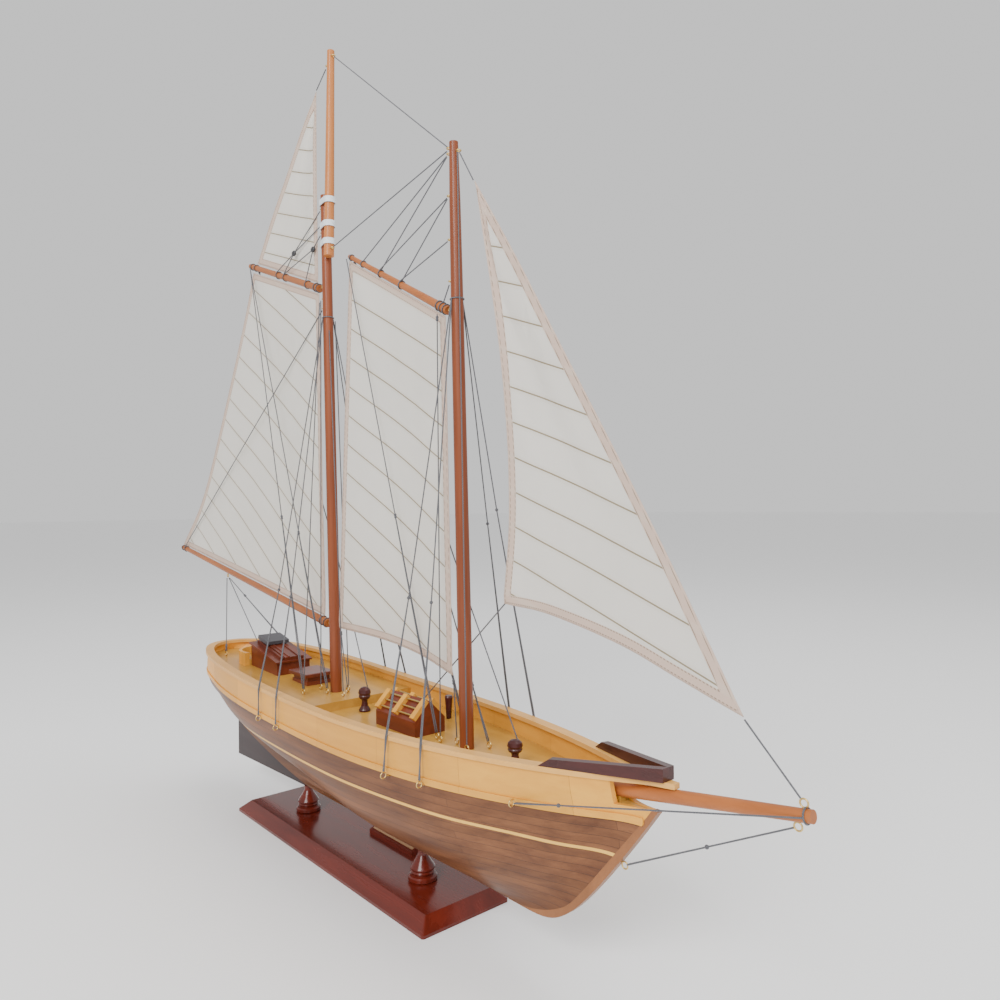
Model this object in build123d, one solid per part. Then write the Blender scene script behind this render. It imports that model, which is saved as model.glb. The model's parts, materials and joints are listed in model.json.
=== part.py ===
from build123d import *
from math import asin, atan2, cos, degrees, pi, radians, sin, sqrt
import os

# Display model of a two-masted gaff schooner on a turned-pedestal stand.
# Frame: +X to the bow, +Y to port, +Z up, origin at the middle of the board's underside.
# All lengths are millimetres.

# ---- stand ----
BOARD_LENGTH = 300.0
BOARD_WIDTH = 76.0
BOARD_HEIGHT = 10.0
BOARD_LIP = 2.2
BOARD_BEVEL = 9.0
PEDESTAL_X = (-82.5, 97.0)
PEDESTAL_RADIUS = 10.8
SCREW_SHANK = 1.4
SCREW_HEAD = 3.2
SCREW_LENGTH = 31.0
NAME_BLOCK = (62.0, 16.0, 9.0)
NAME_BLOCK_CENTRE = (31.0, 22.0)

# ---- hull form ----
BEAM_HALF = 61.5
WIDEST_X = -20.0
BOW_X = 322.0
STERN_X = -266.0
RAIL_OVERHANG = 1.8
KEEL_HALF = 2.4
KEEL_BOTTOM = 32.5
RAIL_LOW = 134.5
RAIL_LOW_X = 90.0
RAIL_RISE_BOW = 5.5
RAIL_RISE_STERN = 8.5
PLANK_THICKNESS = 2.6
BULWARK_THICKNESS = 2.2
RAIL_THICKNESS = 3.0
RAIL_WIDTH = 8.0
RAIL_NOSE_X = 327.5
# gap left for glue between faces that meet
GLUE_LINE = 0.03
DECK_GAP = 0.12
STRAKE_HEIGHT = 4.4
STRAKE_PROUD = 1.0
WATERLINE_Z = 90.0
WATERLINE_HEIGHT = 2.2
WATERLINE_DEPTH = 0.7
HULL_LEVELS = (32.8, 35.5, 40.0, 47.0, 56.0, 66.0, 78.0, 91.0, 105.0, 119.0, 133.0, 147.0)
INNER_LEVELS = (62.0, 70.0, 79.0, 91.0, 105.0, 119.0, 133.0, 148.0)
# fullness of the cross-sections along the hull: (x, bilge sharpness, hollow of the floor)
SECTION_FULLNESS = (
    (-264.0, 3.0, 3.2),
    (-200.0, 4.0, 5.6),
    (-100.0, 4.6, 5.0),
    (0.0, 4.0, 1.9),
    (60.0, 3.6, 1.0),
    (150.0, 2.9, 0.85),
    (240.0, 1.78, 1.2),
    (320.0, 1.3, 1.2),
)
SKEG_AFT_X = -235.0
SKEG_AFT_BOTTOM = 27.0
SKEG_HALF = 2.0

# ---- decks ----
BREAK_X = 0.0
DECK_THICKNESS = 2.0
QUARTERDECK_DROP = 9.5
MAIN_DECK_Z = 119.0
FRAME_STATIONS = (-190.0, -130.0, -70.0, -10.0, 50.0, 110.0, 170.0, 230.0)

# ---- deck furniture ----
COAMING_X = -177.0
COAMING_RADIUS = 23.0
COAMING_WALL = 3.0
COAMING_HEIGHT = 12.5
CABIN_X = (-167.0, -110.0)
CABIN_HALF = 16.5
CABIN_TOP_AFT = 153.0
CABIN_TOP_FORE = 141.5
HATCH_X = (-88.0, -60.0)
HATCH_HALF = 12.0
HATCH_TOP = 139.0
SKYLIGHT_X = (56.0, 108.0)
SKYLIGHT_HALF = 13.5
SKYLIGHT_WALL_TOP = 130.0
SKYLIGHT_RIDGE = 143.5
BOLLARDS = ((17.0, 119.0, 20.0), (201.0, 119.4, 16.5))
POST_XY = (82.0, 37.0)

# ---- masts and spars ----
MAST_STEP_Z = 105.0
MAIN_FOOT = (-29.2, 0.0, MAST_STEP_Z)
MAIN_TOP_Z = 560.0
MAIN_RAKE = 0.0262
MAIN_RADII = (5.0, 4.3)
TOPMAST_HEEL = (-31.0, -2.6, 504.0)
TOPMAST_TOP = (-34.7, 3.1, 686.0)
TOPMAST_RADII = (4.5, 3.2)
LASHING_Z = (516.5, 532.1, 553.0)
LASHING_WIDTH = 5.0
FORE_FOOT = (151.6, 0.0, MAST_STEP_Z)
FORE_TOP_Z = 542.0
FORE_RAKE = 0.0196
# foremast radius at heights above its step
FORE_TAPER = ((0.0, 5.0), (115.0, 4.9), (315.0, 4.5), (395.0, 3.95), (437.0, 3.2))
SPRIT_HEEL = (279.0, 0.0, 125.8)
SPRIT_TIP = (402.0, 0.0, 144.6)
SPRIT_RADII = (4.2, 3.2)
BOOM_FORE = (-42.0, 0.0, 184.6)
BOOM_AFT = (-402.0, 0.0, 239.4)
BOOM_RADII = (3.6, 2.5)
MAIN_GAFF_THROAT = (-51.5, 0.0, 480.6)
MAIN_GAFF_PEAK = (-198.0, 0.0, 535.0)
MAIN_GAFF_RADII = (3.2, 2.6)
FORE_GAFF_THROAT = (135.0, 0.0, 425.0)
FORE_GAFF_PEAK = (0.0, 0.0, 496.4)
FORE_GAFF_RADII = (3.2, 1.9)

# ---- rigging ----
THREAD = 0.45
KNOT = 1.2
WIRE = 0.45
EYE_RING = 2.0
LINK_RING = 1.6
EYE_CLEAR = 0.55
# half the distance between the two parts of a line that is tied back to itself
LEGS_APART = 0.7
SAIL_HALF = 0.3


def unit(v):
    size = sqrt(sum(c * c for c in v))
    return tuple(c / size for c in v)


def between(a, b, t):
    return tuple(p + (q - p) * t for p, q in zip(a, b))


def ease(x, knots, column):
    """Value of one column of knots at x, eased between neighbouring rows."""
    if x <= knots[0][0]:
        return knots[0][column]
    for low, high in zip(knots, knots[1:]):
        if x <= high[0]:
            s = (x - low[0]) / (high[0] - low[0])
            s = (1 - cos(pi * s)) / 2
            return low[column] + (high[column] - low[column]) * s
    return knots[-1][column]


# ================= hull surface =================


def rail_half(x):
    """Half breadth of the cap rail's outer edge."""
    if x >= WIDEST_X:
        u = min(1.0, (x - WIDEST_X) / (BOW_X - WIDEST_X))
        return BEAM_HALF * (1 - u**2.63)
    u = min(1.0, (WIDEST_X - x) / (WIDEST_X - STERN_X))
    return BEAM_HALF * (1 - u**2.5) ** (1 / 2.3)


def rail_z(x):
    """Height of the cap rail's top: the sheer."""
    if x >= RAIL_LOW_X:
        return RAIL_LOW + RAIL_RISE_BOW * ((x - RAIL_LOW_X) / 232.0) ** 2
    s = min(1.0, (RAIL_LOW_X - x) / 356.0)
    return RAIL_LOW + RAIL_RISE_STERN * sin(s * pi / 2) ** 2


def strake_z(x):
    """Lower edge of the rubbing strake."""
    if x >= RAIL_LOW_X:
        return 108.3 + 4.1 * ((x - RAIL_LOW_X) / 215.0) ** 2
    return 108.3 + 10.7 * ((RAIL_LOW_X - x) / 313.0) ** 1.5


def main_deck_z(x):
    return MAIN_DECK_Z + 2.6 * max(0.0, (x - 150.0) / 160.0) ** 2


def quarterdeck_z(x):
    return rail_z(x) - QUARTERDECK_DROP


def keel_z(x):
    """Lowest point of the planking at x: stem, keel, run and counter."""
    if x >= 258.8:
        return 58.1 + (x - 258.8) / 0.84
    if x >= 246.0:
        return 46.0 + (x - 246.0) * 0.945
    if x >= 196.0:
        return KEEL_BOTTOM + 13.5 * ((x - 196.0) / 50.0) ** 2.2
    if x >= -70.0:
        return KEEL_BOTTOM
    if x >= SKEG_AFT_X:
        return KEEL_BOTTOM + 29.5 * ((-70.0 - x) / (-70.0 - SKEG_AFT_X)) ** 1.4
    s = min(1.0, (SKEG_AFT_X - x) / 29.5)
    return 62.0 + 57.0 * s**0.8


def bow_end(z):
    """Forward end of the planking at height z."""
    if z >= 58.1:
        return min(318.0, 258.8 + (z - 58.1) * 0.84)
    if z >= 46.0:
        return 246.0 + (z - 46.0) / 0.945
    return 196.0 + 50.0 * ((z - KEEL_BOTTOM) / 13.5) ** (1 / 2.2)


def stern_end(z):
    """Aft end of the planking at height z."""
    if z >= 119.0:
        return STERN_X + 1.5
    if z >= 62.0:
        return SKEG_AFT_X - 29.5 * ((z - 62.0) / 57.0) ** 1.25
    return -70.0 - 165.0 * ((z - KEEL_BOTTOM) / 29.5) ** (1 / 1.4)


def hull_half(x, z):
    """Half breadth of the planking's outside, without the keel's own width."""
    low = keel_z(x)
    t = min(1.0, max(0.0, (z - low) / (rail_z(x) - low)))
    sharp = ease(x, SECTION_FULLNESS, 1)
    hollow = ease(x, SECTION_FULLNESS, 2)
    side = max(0.0, rail_half(x) - RAIL_OVERHANG)
    return side * (1 - (1 - t) ** sharp) ** hollow


def waterline(z, inset):
    """Closed plan outline of the hull at height z, drawn in by inset."""
    aft = stern_end(z) + inset
    fore = bow_end(z) - inset * 1.6

    def half(x):
        if inset <= 0.0:
            return sqrt(KEEL_HALF**2 + hull_half(x, z) ** 2) - inset
        shift = inset * min(1.0, max(0.0, (-150.0 - x) / 60.0))
        return sqrt(1.0 + max(0.0, hull_half(x - shift, z) - inset) ** 2)

    count = 15
    side = []
    for i in range(count):
        f = (1 - cos(pi * i / (count - 1))) / 2
        x = aft + (fore - aft) * f
        side.append((x, half(x)))
    port = [Vector(x, y, z) for x, y in side]
    starboard = [Vector(x, -y, z) for x, y in reversed(side)]
    edges = [
        Spline(*port),
        Line(port[-1], starboard[0]),
        Spline(*starboard),
        Line(starboard[-1], port[0]),
    ]
    return Wire(edges)


def hull_volume(inset, levels):
    return Solid.make_loft([waterline(z, inset) for z in levels], False)


def slab(low, high, start, end, half_width=90.0):
    """Solid between two heights given as functions of x, right across the hull."""
    count = 15
    xs = [start + (end - start) * i / (count - 1) for i in range(count)]
    top = Spline(*[Vector(x, 0, high(x)) for x in xs])
    bottom = Spline(*[Vector(x, 0, low(x)) for x in xs])
    sides = [Line(top @ 0, bottom @ 0), Line(top @ 1, bottom @ 1)]
    face = Face(Wire([top, bottom] + sides))
    return extrude(face, amount=half_width, dir=(0, 1, 0), both=True)


def block(x0, x1, y0, y1, z0, z1):
    box = Box(x1 - x0, y1 - y0, z1 - z0)
    return Pos((x0 + x1) / 2, (y0 + y1) / 2, (z0 + z1) / 2) * box


def level(z):
    return lambda x: z


# ================= small shared shapes =================


def rod(a, b, r0, r1=None):
    """Round bar from a to b."""
    r1 = r0 if r1 is None else r1
    length = sqrt(sum((q - p) ** 2 for p, q in zip(a, b)))
    place = Plane(origin=a, z_dir=unit(tuple(q - p for p, q in zip(a, b))))
    if r0 == r1:
        bar = Cylinder(r0, length, align=(Align.CENTER, Align.CENTER, Align.MIN))
    else:
        bar = Cone(r0, r1, length, align=(Align.CENTER, Align.CENTER, Align.MIN))
    return place * bar


def ball(at, radius):
    return Pos(*at) * Sphere(radius)


def ring(at, axis, radius, wire):
    return Plane(origin=at, z_dir=unit(axis)) * Torus(radius, wire)


def screw_eye(at, out, face, radius=EYE_RING, shank=3.0):
    """Eye whose ring centre is at: its shank runs along -out, its ring faces along face."""
    out = unit(out)
    base = tuple(p - o * (radius + shank) for p, o in zip(at, out))
    neck = tuple(p - o * (radius - 0.1) for p, o in zip(at, out))
    return rod(base, neck, WIRE) + ring(at, face, radius, WIRE)


def turned(profile, at):
    """Solid of revolution about Z from (radius, height) points."""
    points = [Vector(0, 0, profile[0][1])]
    points += [Vector(r, 0, h) for r, h in profile]
    points += [Vector(0, 0, profile[-1][1])]
    face = Face(Polyline(*points, close=True).wire())
    return Pos(*at) * revolve(face, Axis.Z, 360)


def mast_x(foot, rake, z):
    return foot[0] - rake * (z - foot[2])


def main_x(z):
    return mast_x(MAIN_FOOT, MAIN_RAKE, z)


def fore_x(z):
    return mast_x(FORE_FOOT, FORE_RAKE, z)


def mirror_y(shape):
    return mirror(shape, Plane.XZ)


# ================= rigging lines =================


def stop_short(start, end, gap):
    """Point on the way from start to end that stays gap clear of end."""
    reach = sqrt(sum((q - p) ** 2 for p, q in zip(start, end)))
    return between(start, end, 1 - gap / reach)


def plain_line(a, b):
    return rod(a, b, THREAD)


def tied_line(top, eye, share, over=None):
    """Thread led round an eye's ring and knotted back to itself part of the way up.

    over is a point of the rail's edge that both parts lie against on their way down.
    """
    knot = between(top, eye, share)
    above = knot if over is None else over
    low = stop_short(above, eye, EYE_RING + WIRE + 0.12)
    level_run = sqrt((eye[0] - above[0]) ** 2 + (eye[1] - above[1]) ** 2)
    side = ((eye[1] - above[1]) / level_run, (above[0] - eye[0]) / level_run)
    shape = rod(top, knot, THREAD) + ball(knot, KNOT)
    for apart in (-LEGS_APART, LEGS_APART):
        foot = (low[0] + side[0] * apart, low[1] + side[1] * apart, low[2])
        if over is None:
            shape += rod(knot, foot, THREAD)
        else:
            bend = (over[0] + apart, over[1], over[2])
            shape += rod(knot, bend, THREAD) + ball(bend, THREAD) + rod(bend, foot, THREAD)
    return shape


def wrap(axis_start, axis_end, at_share, radius):
    """Turn of thread round a spar whose axis runs between two points."""
    centre = between(axis_start, axis_end, at_share)
    axis = tuple(q - p for p, q in zip(axis_start, axis_end))
    return ring(centre, axis, radius + THREAD + 0.02, THREAD)


def group(shapes):
    solids = []
    for shape in shapes:
        solids += list(shape.solids())
    return Compound(children=solids)


def side_face(points):
    """Flat face in the plane of symmetry through (x, z) points."""
    return Face(Polyline(*[Vector(x, 0, z) for x, z in points], close=True).wire())


def curve_through(points):
    return Spline(*[Vector(x, 0, z) for x, z in points])


# ================= stand =================


def base_board():
    plan = RectangleRounded(BOARD_LENGTH, BOARD_WIDTH, 2.0)
    top = RectangleRounded(BOARD_LENGTH - 2 * BOARD_BEVEL, BOARD_WIDTH - 2 * BOARD_BEVEL, 1.0)
    board = extrude(plan, BOARD_LIP)
    board += loft([Pos(0, 0, BOARD_LIP) * plan, Pos(0, 0, BOARD_HEIGHT) * top])
    for x in PEDESTAL_X:
        board -= rod((x, 0, -1), (x, 0, BOARD_HEIGHT + 1), SCREW_SHANK + 0.1)
        board -= rod((x, 0, -0.1), (x, 0, 3.0), SCREW_HEAD + 0.3)
    return board


def pedestals():
    r = PEDESTAL_RADIUS
    height = KEEL_BOTTOM - BOARD_HEIGHT
    profile = (
        (r - 0.8, 0.0),
        (r, 0.9),
        (r, 3.2),
        (r - 0.9, 4.2),
        (r - 2.6, 4.8),
        (r - 2.2, 5.6),
        (r - 1.6, 6.6),
        (r - 2.4, 7.6),
        (r - 2.9, 8.0),
        (r - 1.5, 8.6),
        (r - 1.5, 9.6),
        (r - 2.6, 11.4),
        (r - 5.2, 15.2),
        (r - 6.9, 18.4),
        (r - 7.3, 20.4),
        (r - 7.3, height),
    )
    shapes = []
    for x in PEDESTAL_X:
        post = turned(profile, (x, 0, BOARD_HEIGHT))
        post -= rod((x, 0, 0), (x, 0, KEEL_BOTTOM + 1), SCREW_SHANK + 0.1)
        shapes.append(post)
    return group(shapes)


def stand_screws():
    shapes = []
    for x in PEDESTAL_X:
        head = rod((x, 0, 0.8), (x, 0, 3.0), SCREW_HEAD)
        shapes.append(head + rod((x, 0, 2.9), (x, 0, SCREW_LENGTH + 4.0), SCREW_SHANK))
    return group(shapes)


def name_block():
    length, width, height = NAME_BLOCK
    x, y = NAME_BLOCK_CENTRE
    low = BOARD_HEIGHT
    points = [
        (y - width / 2, low),
        (y + width / 2, low),
        (y + width / 2, low + height),
        (y - width / 2, low + 3.5),
    ]
    face = Face(Polyline(*[Vector(x - length / 2, a, b) for a, b in points], close=True).wire())
    return extrude(face, amount=length, dir=(1, 0, 0))


def name_plate():
    length, width, height = NAME_BLOCK
    x, y = NAME_BLOCK_CENTRE
    slope = degrees(atan2(height - 3.5, width))
    middle = BOARD_HEIGHT + (height + 3.5) / 2
    plate = Box(length - 5, width - 4, 0.8, align=(Align.CENTER, Align.CENTER, Align.MIN))
    return Pos(x, y, middle) * Rot(slope, 0, 0) * plate


# ================= hull =================


def screw_holes():
    holes = []
    for x in PEDESTAL_X:
        holes.append(rod((x, 0, KEEL_BOTTOM - 5), (x, 0, SCREW_LENGTH + 4.3), SCREW_SHANK + 0.05))
    return holes


def waterline_band(outer, gap):
    """Shallow band let into the planking all round at the waterline."""
    half = WATERLINE_HEIGHT / 2 - gap
    band = block(-290, 340, -80, 80, WATERLINE_Z - half, WATERLINE_Z + half)
    heights = (82.0, 86.0, WATERLINE_Z, 94.0, 98.0)
    core = Solid.make_loft([waterline(z, WATERLINE_DEPTH - gap) for z in heights], False)
    return (outer & band) - core


def stem_strip(outer):
    """Keel and stem piece that stands proud of the planking's forward edge."""
    outside = (
        (316.5, 122.3),
        (302.2, 103.2),
        (290.2, 88.0),
        (267.5, 61.1),
        (249.5, 43.6),
        (236.0, 35.6),
        (218.0, 32.6),
        (196.0, 32.5),
    )
    inside = ((196.0, 32.5), (196.0, 34.0), (250.0, 60.0), (292.0, 112.0), (300.0, 122.3), (316.5, 122.3))
    back = Polyline(*[Vector(x, 0, z) for x, z in inside])
    face = Face(Wire([curve_through(outside)] + list(back.edges())))
    strip = extrude(face, amount=KEEL_HALF, dir=(0, 1, 0), both=True)
    return largest(strip - outer)


def largest(shape):
    return max(shape.solids(), key=lambda s: s.volume)


def skeg_plate(outer):
    """Upright plate that fills the space under the run, with the sternpost at its aft edge."""
    face = side_face(
        (
            (-62.0, KEEL_BOTTOM),
            (-62.0, KEEL_BOTTOM + 3.0),
            (SKEG_AFT_X, 68.0),
            (SKEG_AFT_X, SKEG_AFT_BOTTOM),
        )
    )
    return largest(extrude(face, amount=SKEG_HALF, dir=(0, 1, 0), both=True) - outer)


def rubbing_strake(outer):
    proud = hull_volume(-STRAKE_PROUD, HULL_LEVELS[6:])
    band = slab(strake_z, lambda x: strake_z(x) + STRAKE_HEIGHT, -280, 307)
    return largest((proud & band) - outer)


def frames(inner):
    """Bulkheads notched over a spine, below the deck beams."""
    shapes = []
    roof = slab(level(0.0), lambda x: main_deck_z(x) - DECK_THICKNESS - 0.2, -290, 330)
    core = inner & roof
    for x in FRAME_STATIONS:
        shapes.append(core & block(x - 1.5, x + 1.5, -70, 70, 0, 140))
    shapes.append(core & block(-215, 250, -1.5, 1.5, 0, 105))
    egg_crate = shapes[0]
    for shape in shapes[1:]:
        egg_crate += shape
    return egg_crate


def main_deck(inner):
    deck = inner & slab(lambda x: main_deck_z(x) - DECK_THICKNESS, main_deck_z, BREAK_X - 8, 330)
    foot = rod((fore_x(110), 0, 110), (fore_x(130), 0, 130), FORE_TAPER[0][1] + 0.05)
    return deck - foot


def quarterdeck(inner):
    deck = inner & slab(
        lambda x: quarterdeck_z(x) - DECK_THICKNESS, quarterdeck_z, -290, BREAK_X
    )
    riser = inner & slab(main_deck_z, lambda x: quarterdeck_z(x) - 0.1, BREAK_X - 2.5, BREAK_X)
    deck += riser
    deck -= rod((main_x(100), 0, 100), (main_x(140), 0, 140), MAIN_RADII[0] + 0.05)
    return deck - block(-193, CABIN_X[0] - 1.5, -9, 9, 100, 150)


def bulwark(outer, inner, side):
    """Sheer planking from the strake up to the rail on one side, cut away at the bow."""
    low = lambda x: strake_z(x) + GLUE_LINE
    high = lambda x: rail_z(x) - RAIL_THICKNESS - GLUE_LINE
    wall = (outer - inner) & slab(low, high, -290, 330)
    wall -= slab(lambda x: main_deck_z(x) + 0.4, level(160.0), 291.0, 335.0)
    half_space = block(-300, 340, 0, 90, 90, 170)
    if side < 0:
        half_space = mirror_y(half_space)
    return largest(wall & half_space)


def rail_plan(inset, end):
    """Half outline of the cap rail in plan, drawn in by inset, from the stern's middle forward."""
    points = [Vector(STERN_X + inset, 0, 0)]
    count = 22
    for i in range(1, count):
        f = (1 - cos(pi * i / (count - 1))) / 2
        x = STERN_X + (end - STERN_X) * f
        slope = (rail_half(x + 0.05) - rail_half(x - 0.05)) / 0.1
        stretch = sqrt(1 + slope**2)
        points.append(Vector(x + inset * slope / stretch, rail_half(x) - inset / stretch, 0))
    return Spline(*points)


def cap_rail(side):
    """One side of the rail, following the sheer and meeting the other on the centreline."""
    outside = rail_plan(0.0, 312.0)
    inside = rail_plan(RAIL_WIDTH, 298.0)
    nose = Polyline(outside @ 1, Vector(RAIL_NOSE_X, 2.2, 0), Vector(RAIL_NOSE_X, 0, 0))
    throat = Polyline(Vector(RAIL_NOSE_X, 0, 0), Vector((inside @ 1).X + 3.5, 0, 0), inside @ 1)
    stern = Line(inside @ 0, outside @ 0)
    half = Face(Wire([outside] + list(nose.edges()) + list(throat.edges()) + [inside, stern]))
    rail = Pos(0, 0, 120) * extrude(half, 40, dir=(0, 0, 1))
    rail &= slab(lambda x: rail_z(x) - RAIL_THICKNESS, rail_z, -290, 340)
    rail = largest(rail)
    return rail if side > 0 else mirror_y(rail)


def bow_rails():
    """Tapered bars on the cap rail, mitred together over the stem."""
    aft = (250.0, 25.4)
    fore = (321.5, 2.4)
    length = sqrt((fore[0] - aft[0]) ** 2 + (fore[1] - aft[1]) ** 2)
    turn = degrees(atan2(fore[1] - aft[1], fore[0] - aft[0]))
    low_aft = rail_z(aft[0])
    low_fore = rail_z(fore[0])
    side = Polyline(
        Vector(0, 0, low_aft),
        Vector(7.5, 0, low_aft + 4.9),
        Vector(length + 3, 0, 147.6),
        Vector(length + 3, 0, low_fore),
        close=True,
    )
    bar = extrude(Face(side.wire()), amount=2.4, dir=(0, 1, 0), both=True)
    bar = Pos(aft[0], aft[1], 0) * Rot(0, 0, turn) * bar
    bar &= block(240, 322.0, 0, 60, 100, 170)
    bar -= slab(level(100.0), lambda x: rail_z(x) + GLUE_LINE, 240, 330)
    return group([bar, mirror_y(bar)])


# ================= deck furniture =================


def above_quarterdeck(shape):
    return shape - slab(level(100.0), lambda x: quarterdeck_z(x) + GLUE_LINE, -280, BREAK_X + 5)


def cockpit_coaming():
    ring_plan = Circle(COAMING_RADIUS) - Circle(COAMING_RADIUS - COAMING_WALL)
    ring_plan = Pos(COAMING_X, 0) * ring_plan
    ring_plan += Pos((COAMING_X + CABIN_X[0]) / 2, COAMING_RADIUS - COAMING_WALL / 2) * Rectangle(
        CABIN_X[0] - COAMING_X, COAMING_WALL
    )
    ring_plan += Pos((COAMING_X + CABIN_X[0]) / 2, COAMING_WALL / 2 - COAMING_RADIUS) * Rectangle(
        CABIN_X[0] - COAMING_X, COAMING_WALL
    )
    wall = Pos(0, 0, 120) * extrude(ring_plan, 40)
    wall &= block(-220, CABIN_X[0], -40, 40, 100, 170)
    wall &= slab(level(100.0), lambda x: quarterdeck_z(x) + COAMING_HEIGHT, -280, BREAK_X)
    wall -= block(CABIN_X[0] - 10, -160, -CABIN_HALF - 2, CABIN_HALF + 2, 100, 170)
    return above_quarterdeck(wall)


def cockpit_seat():
    """Bench round the inside of the coaming with the dark well open in its middle."""
    plan = Pos(COAMING_X, 0) * Circle(COAMING_RADIUS - COAMING_WALL - 0.1)
    plan += Pos((COAMING_X + CABIN_X[0]) / 2, 0) * Rectangle(
        CABIN_X[0] - COAMING_X, 2 * (COAMING_RADIUS - COAMING_WALL - 0.1)
    )
    bench = Pos(0, 0, 120) * extrude(plan, 40)
    bench &= block(-220, CABIN_X[0] - 0.1, -40, 40, 100, 170)
    bench &= slab(level(100.0), lambda x: quarterdeck_z(x) + 6.0, -280, BREAK_X)
    bench -= block(-192, CABIN_X[0] - 1.5, -8, 8, 100, 170)
    return above_quarterdeck(bench)


def cabin_profile(lift, low):
    """Side view of the cabin: its top slopes down forward."""
    aft, fore = CABIN_X
    return Polyline(
        Vector(aft, 0, low),
        Vector(fore, 0, low),
        Vector(fore, 0, CABIN_TOP_FORE + lift),
        Vector(aft, 0, CABIN_TOP_AFT + lift),
        close=True,
    )


def cabin_house():
    shell = extrude(Face(cabin_profile(0.0, 124.0).wire()), CABIN_HALF, dir=(0, 1, 0), both=True)
    aft, fore = CABIN_X
    shell -= block(aft + 2, fore - 2, 2 - CABIN_HALF, CABIN_HALF - 2, 110, 170)
    return above_quarterdeck(shell)


def tilted(shape):
    """Moves a shape built flat at the origin onto the cabin roof's slope."""
    aft, fore = CABIN_X
    slope = degrees(atan2(CABIN_TOP_AFT - CABIN_TOP_FORE, fore - aft))
    middle = ((aft + fore) / 2, 0, (CABIN_TOP_AFT + CABIN_TOP_FORE) / 2)
    return Pos(*middle) * Rot(0, slope, 0) * shape


def roof_length():
    return sqrt((CABIN_X[1] - CABIN_X[0]) ** 2 + (CABIN_TOP_AFT - CABIN_TOP_FORE) ** 2)


def cabin_roof():
    length = roof_length() + 3.0
    roof = Box(length, 2 * CABIN_HALF + 3.5, 1.6, align=(Align.CENTER, Align.CENTER, Align.MIN))
    return tilted(roof)


def cabin_slides():
    """Raised companion slide on the roof between two runners."""
    length = roof_length() - 4.0
    slide = Box(length - 6.0, 17.0, 3.2, align=(Align.CENTER, Align.CENTER, Align.MIN))
    shapes = [tilted(Pos(4.5, 0, 1.6) * slide)]
    for side in (-1, 1):
        runner = Box(length, 1.8, 2.4, align=(Align.CENTER, Align.CENTER, Align.MIN))
        shapes.append(tilted(Pos(0, side * 10.2, 1.6) * runner))
        strip = Box(length - 8.0, 1.4, 0.9, align=(Align.CENTER, Align.CENTER, Align.MIN))
        shapes.append(tilted(Pos(5.5, side * 4.6, 4.8) * strip))
    return group(shapes)


def cabin_lid():
    lid = Box(22.0, 23.0, 3.2, align=(Align.CENTER, Align.CENTER, Align.MIN))
    lid = fillet(lid.edges().filter_by(Axis.Z), 1.2)
    return tilted(Pos(-16.0, 0, 5.8) * lid)


def small_hatch_box():
    x0, x1 = HATCH_X
    lower = block(x0, x1, -HATCH_HALF, HATCH_HALF, 120, HATCH_TOP - 7.2)
    upper = block(x0 + 1, x1 - 1, 1 - HATCH_HALF, HATCH_HALF - 1, HATCH_TOP - 7.3, HATCH_TOP - 3.2)
    hollow = block(x0 + 3, x1 - 3, 3 - HATCH_HALF, HATCH_HALF - 3, 118, HATCH_TOP - 2)
    return above_quarterdeck(lower + upper - hollow)


def small_hatch_lid():
    x0, x1 = HATCH_X
    lid = block(
        x0 - 2.5, x1 + 2.5, -HATCH_HALF - 2.5, HATCH_HALF + 2.5, HATCH_TOP - 3.2, HATCH_TOP
    )
    return chamfer(lid.faces().sort_by(Axis.Z)[-1].edges(), 0.6)


def gable(x0, x1, half, low, eave, ridge):
    face = Face(
        Polyline(
            Vector(x0, -half, low),
            Vector(x0, half, low),
            Vector(x0, half, eave),
            Vector(x0, 0, ridge),
            Vector(x0, -half, eave),
            close=True,
        ).wire()
    )
    return extrude(face, amount=x1 - x0, dir=(1, 0, 0))


def skylight_box():
    x0, x1 = SKYLIGHT_X
    wall = SKYLIGHT_WALL_TOP
    body = gable(x0, x1, SKYLIGHT_HALF, MAIN_DECK_Z, wall, SKYLIGHT_RIDGE)
    return body - gable(
        x0 + 3, x1 - 3, SKYLIGHT_HALF - 3, MAIN_DECK_Z - 1, wall - 2.0, SKYLIGHT_RIDGE - 4
    )


def on_slope(shape, side, along):
    """Places a shape built flat on one slope of the skylight's roof."""
    rise = SKYLIGHT_RIDGE - SKYLIGHT_WALL_TOP
    slope = degrees(atan2(rise, SKYLIGHT_HALF))
    middle_z = (SKYLIGHT_RIDGE + SKYLIGHT_WALL_TOP) / 2
    return Pos(along, side * SKYLIGHT_HALF / 2, middle_z) * Rot(-side * slope, 0, 0) * shape


def skylight_bars():
    run = sqrt(SKYLIGHT_HALF**2 + (SKYLIGHT_RIDGE - SKYLIGHT_WALL_TOP) ** 2)
    x0, x1 = SKYLIGHT_X
    holes = skylight_rod_lines()
    shapes = []
    for side in (-1, 1):
        for x in (x0 + 2.6, (x0 + x1) / 2, x1 - 2.6):
            bar = Box(5.0, run - 2.6, 3.4, align=(Align.CENTER, Align.CENTER, Align.MIN))
            bar = on_slope(bar, side, x)
            for start, end in holes:
                bar -= rod(start, end, 0.75)
            shapes.append(bar)
    return group(shapes)


def skylight_rod_lines():
    x0, x1 = SKYLIGHT_X
    lines = []
    for side in (-1, 1):
        for share in (-0.3, 0.0, 0.3):
            run = sqrt(SKYLIGHT_HALF**2 + (SKYLIGHT_RIDGE - SKYLIGHT_WALL_TOP) ** 2)
            middle = on_slope(Pos(0, share * run, 1.9) * Sphere(0.1), side, 0).center()
            start = (x0 + 1.0, middle.Y, middle.Z)
            lines.append((start, (x1 - 1.0, middle.Y, middle.Z)))
    return lines


def skylight_rods():
    return group([rod(start, end, 0.7) for start, end in skylight_rod_lines()])


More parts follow.
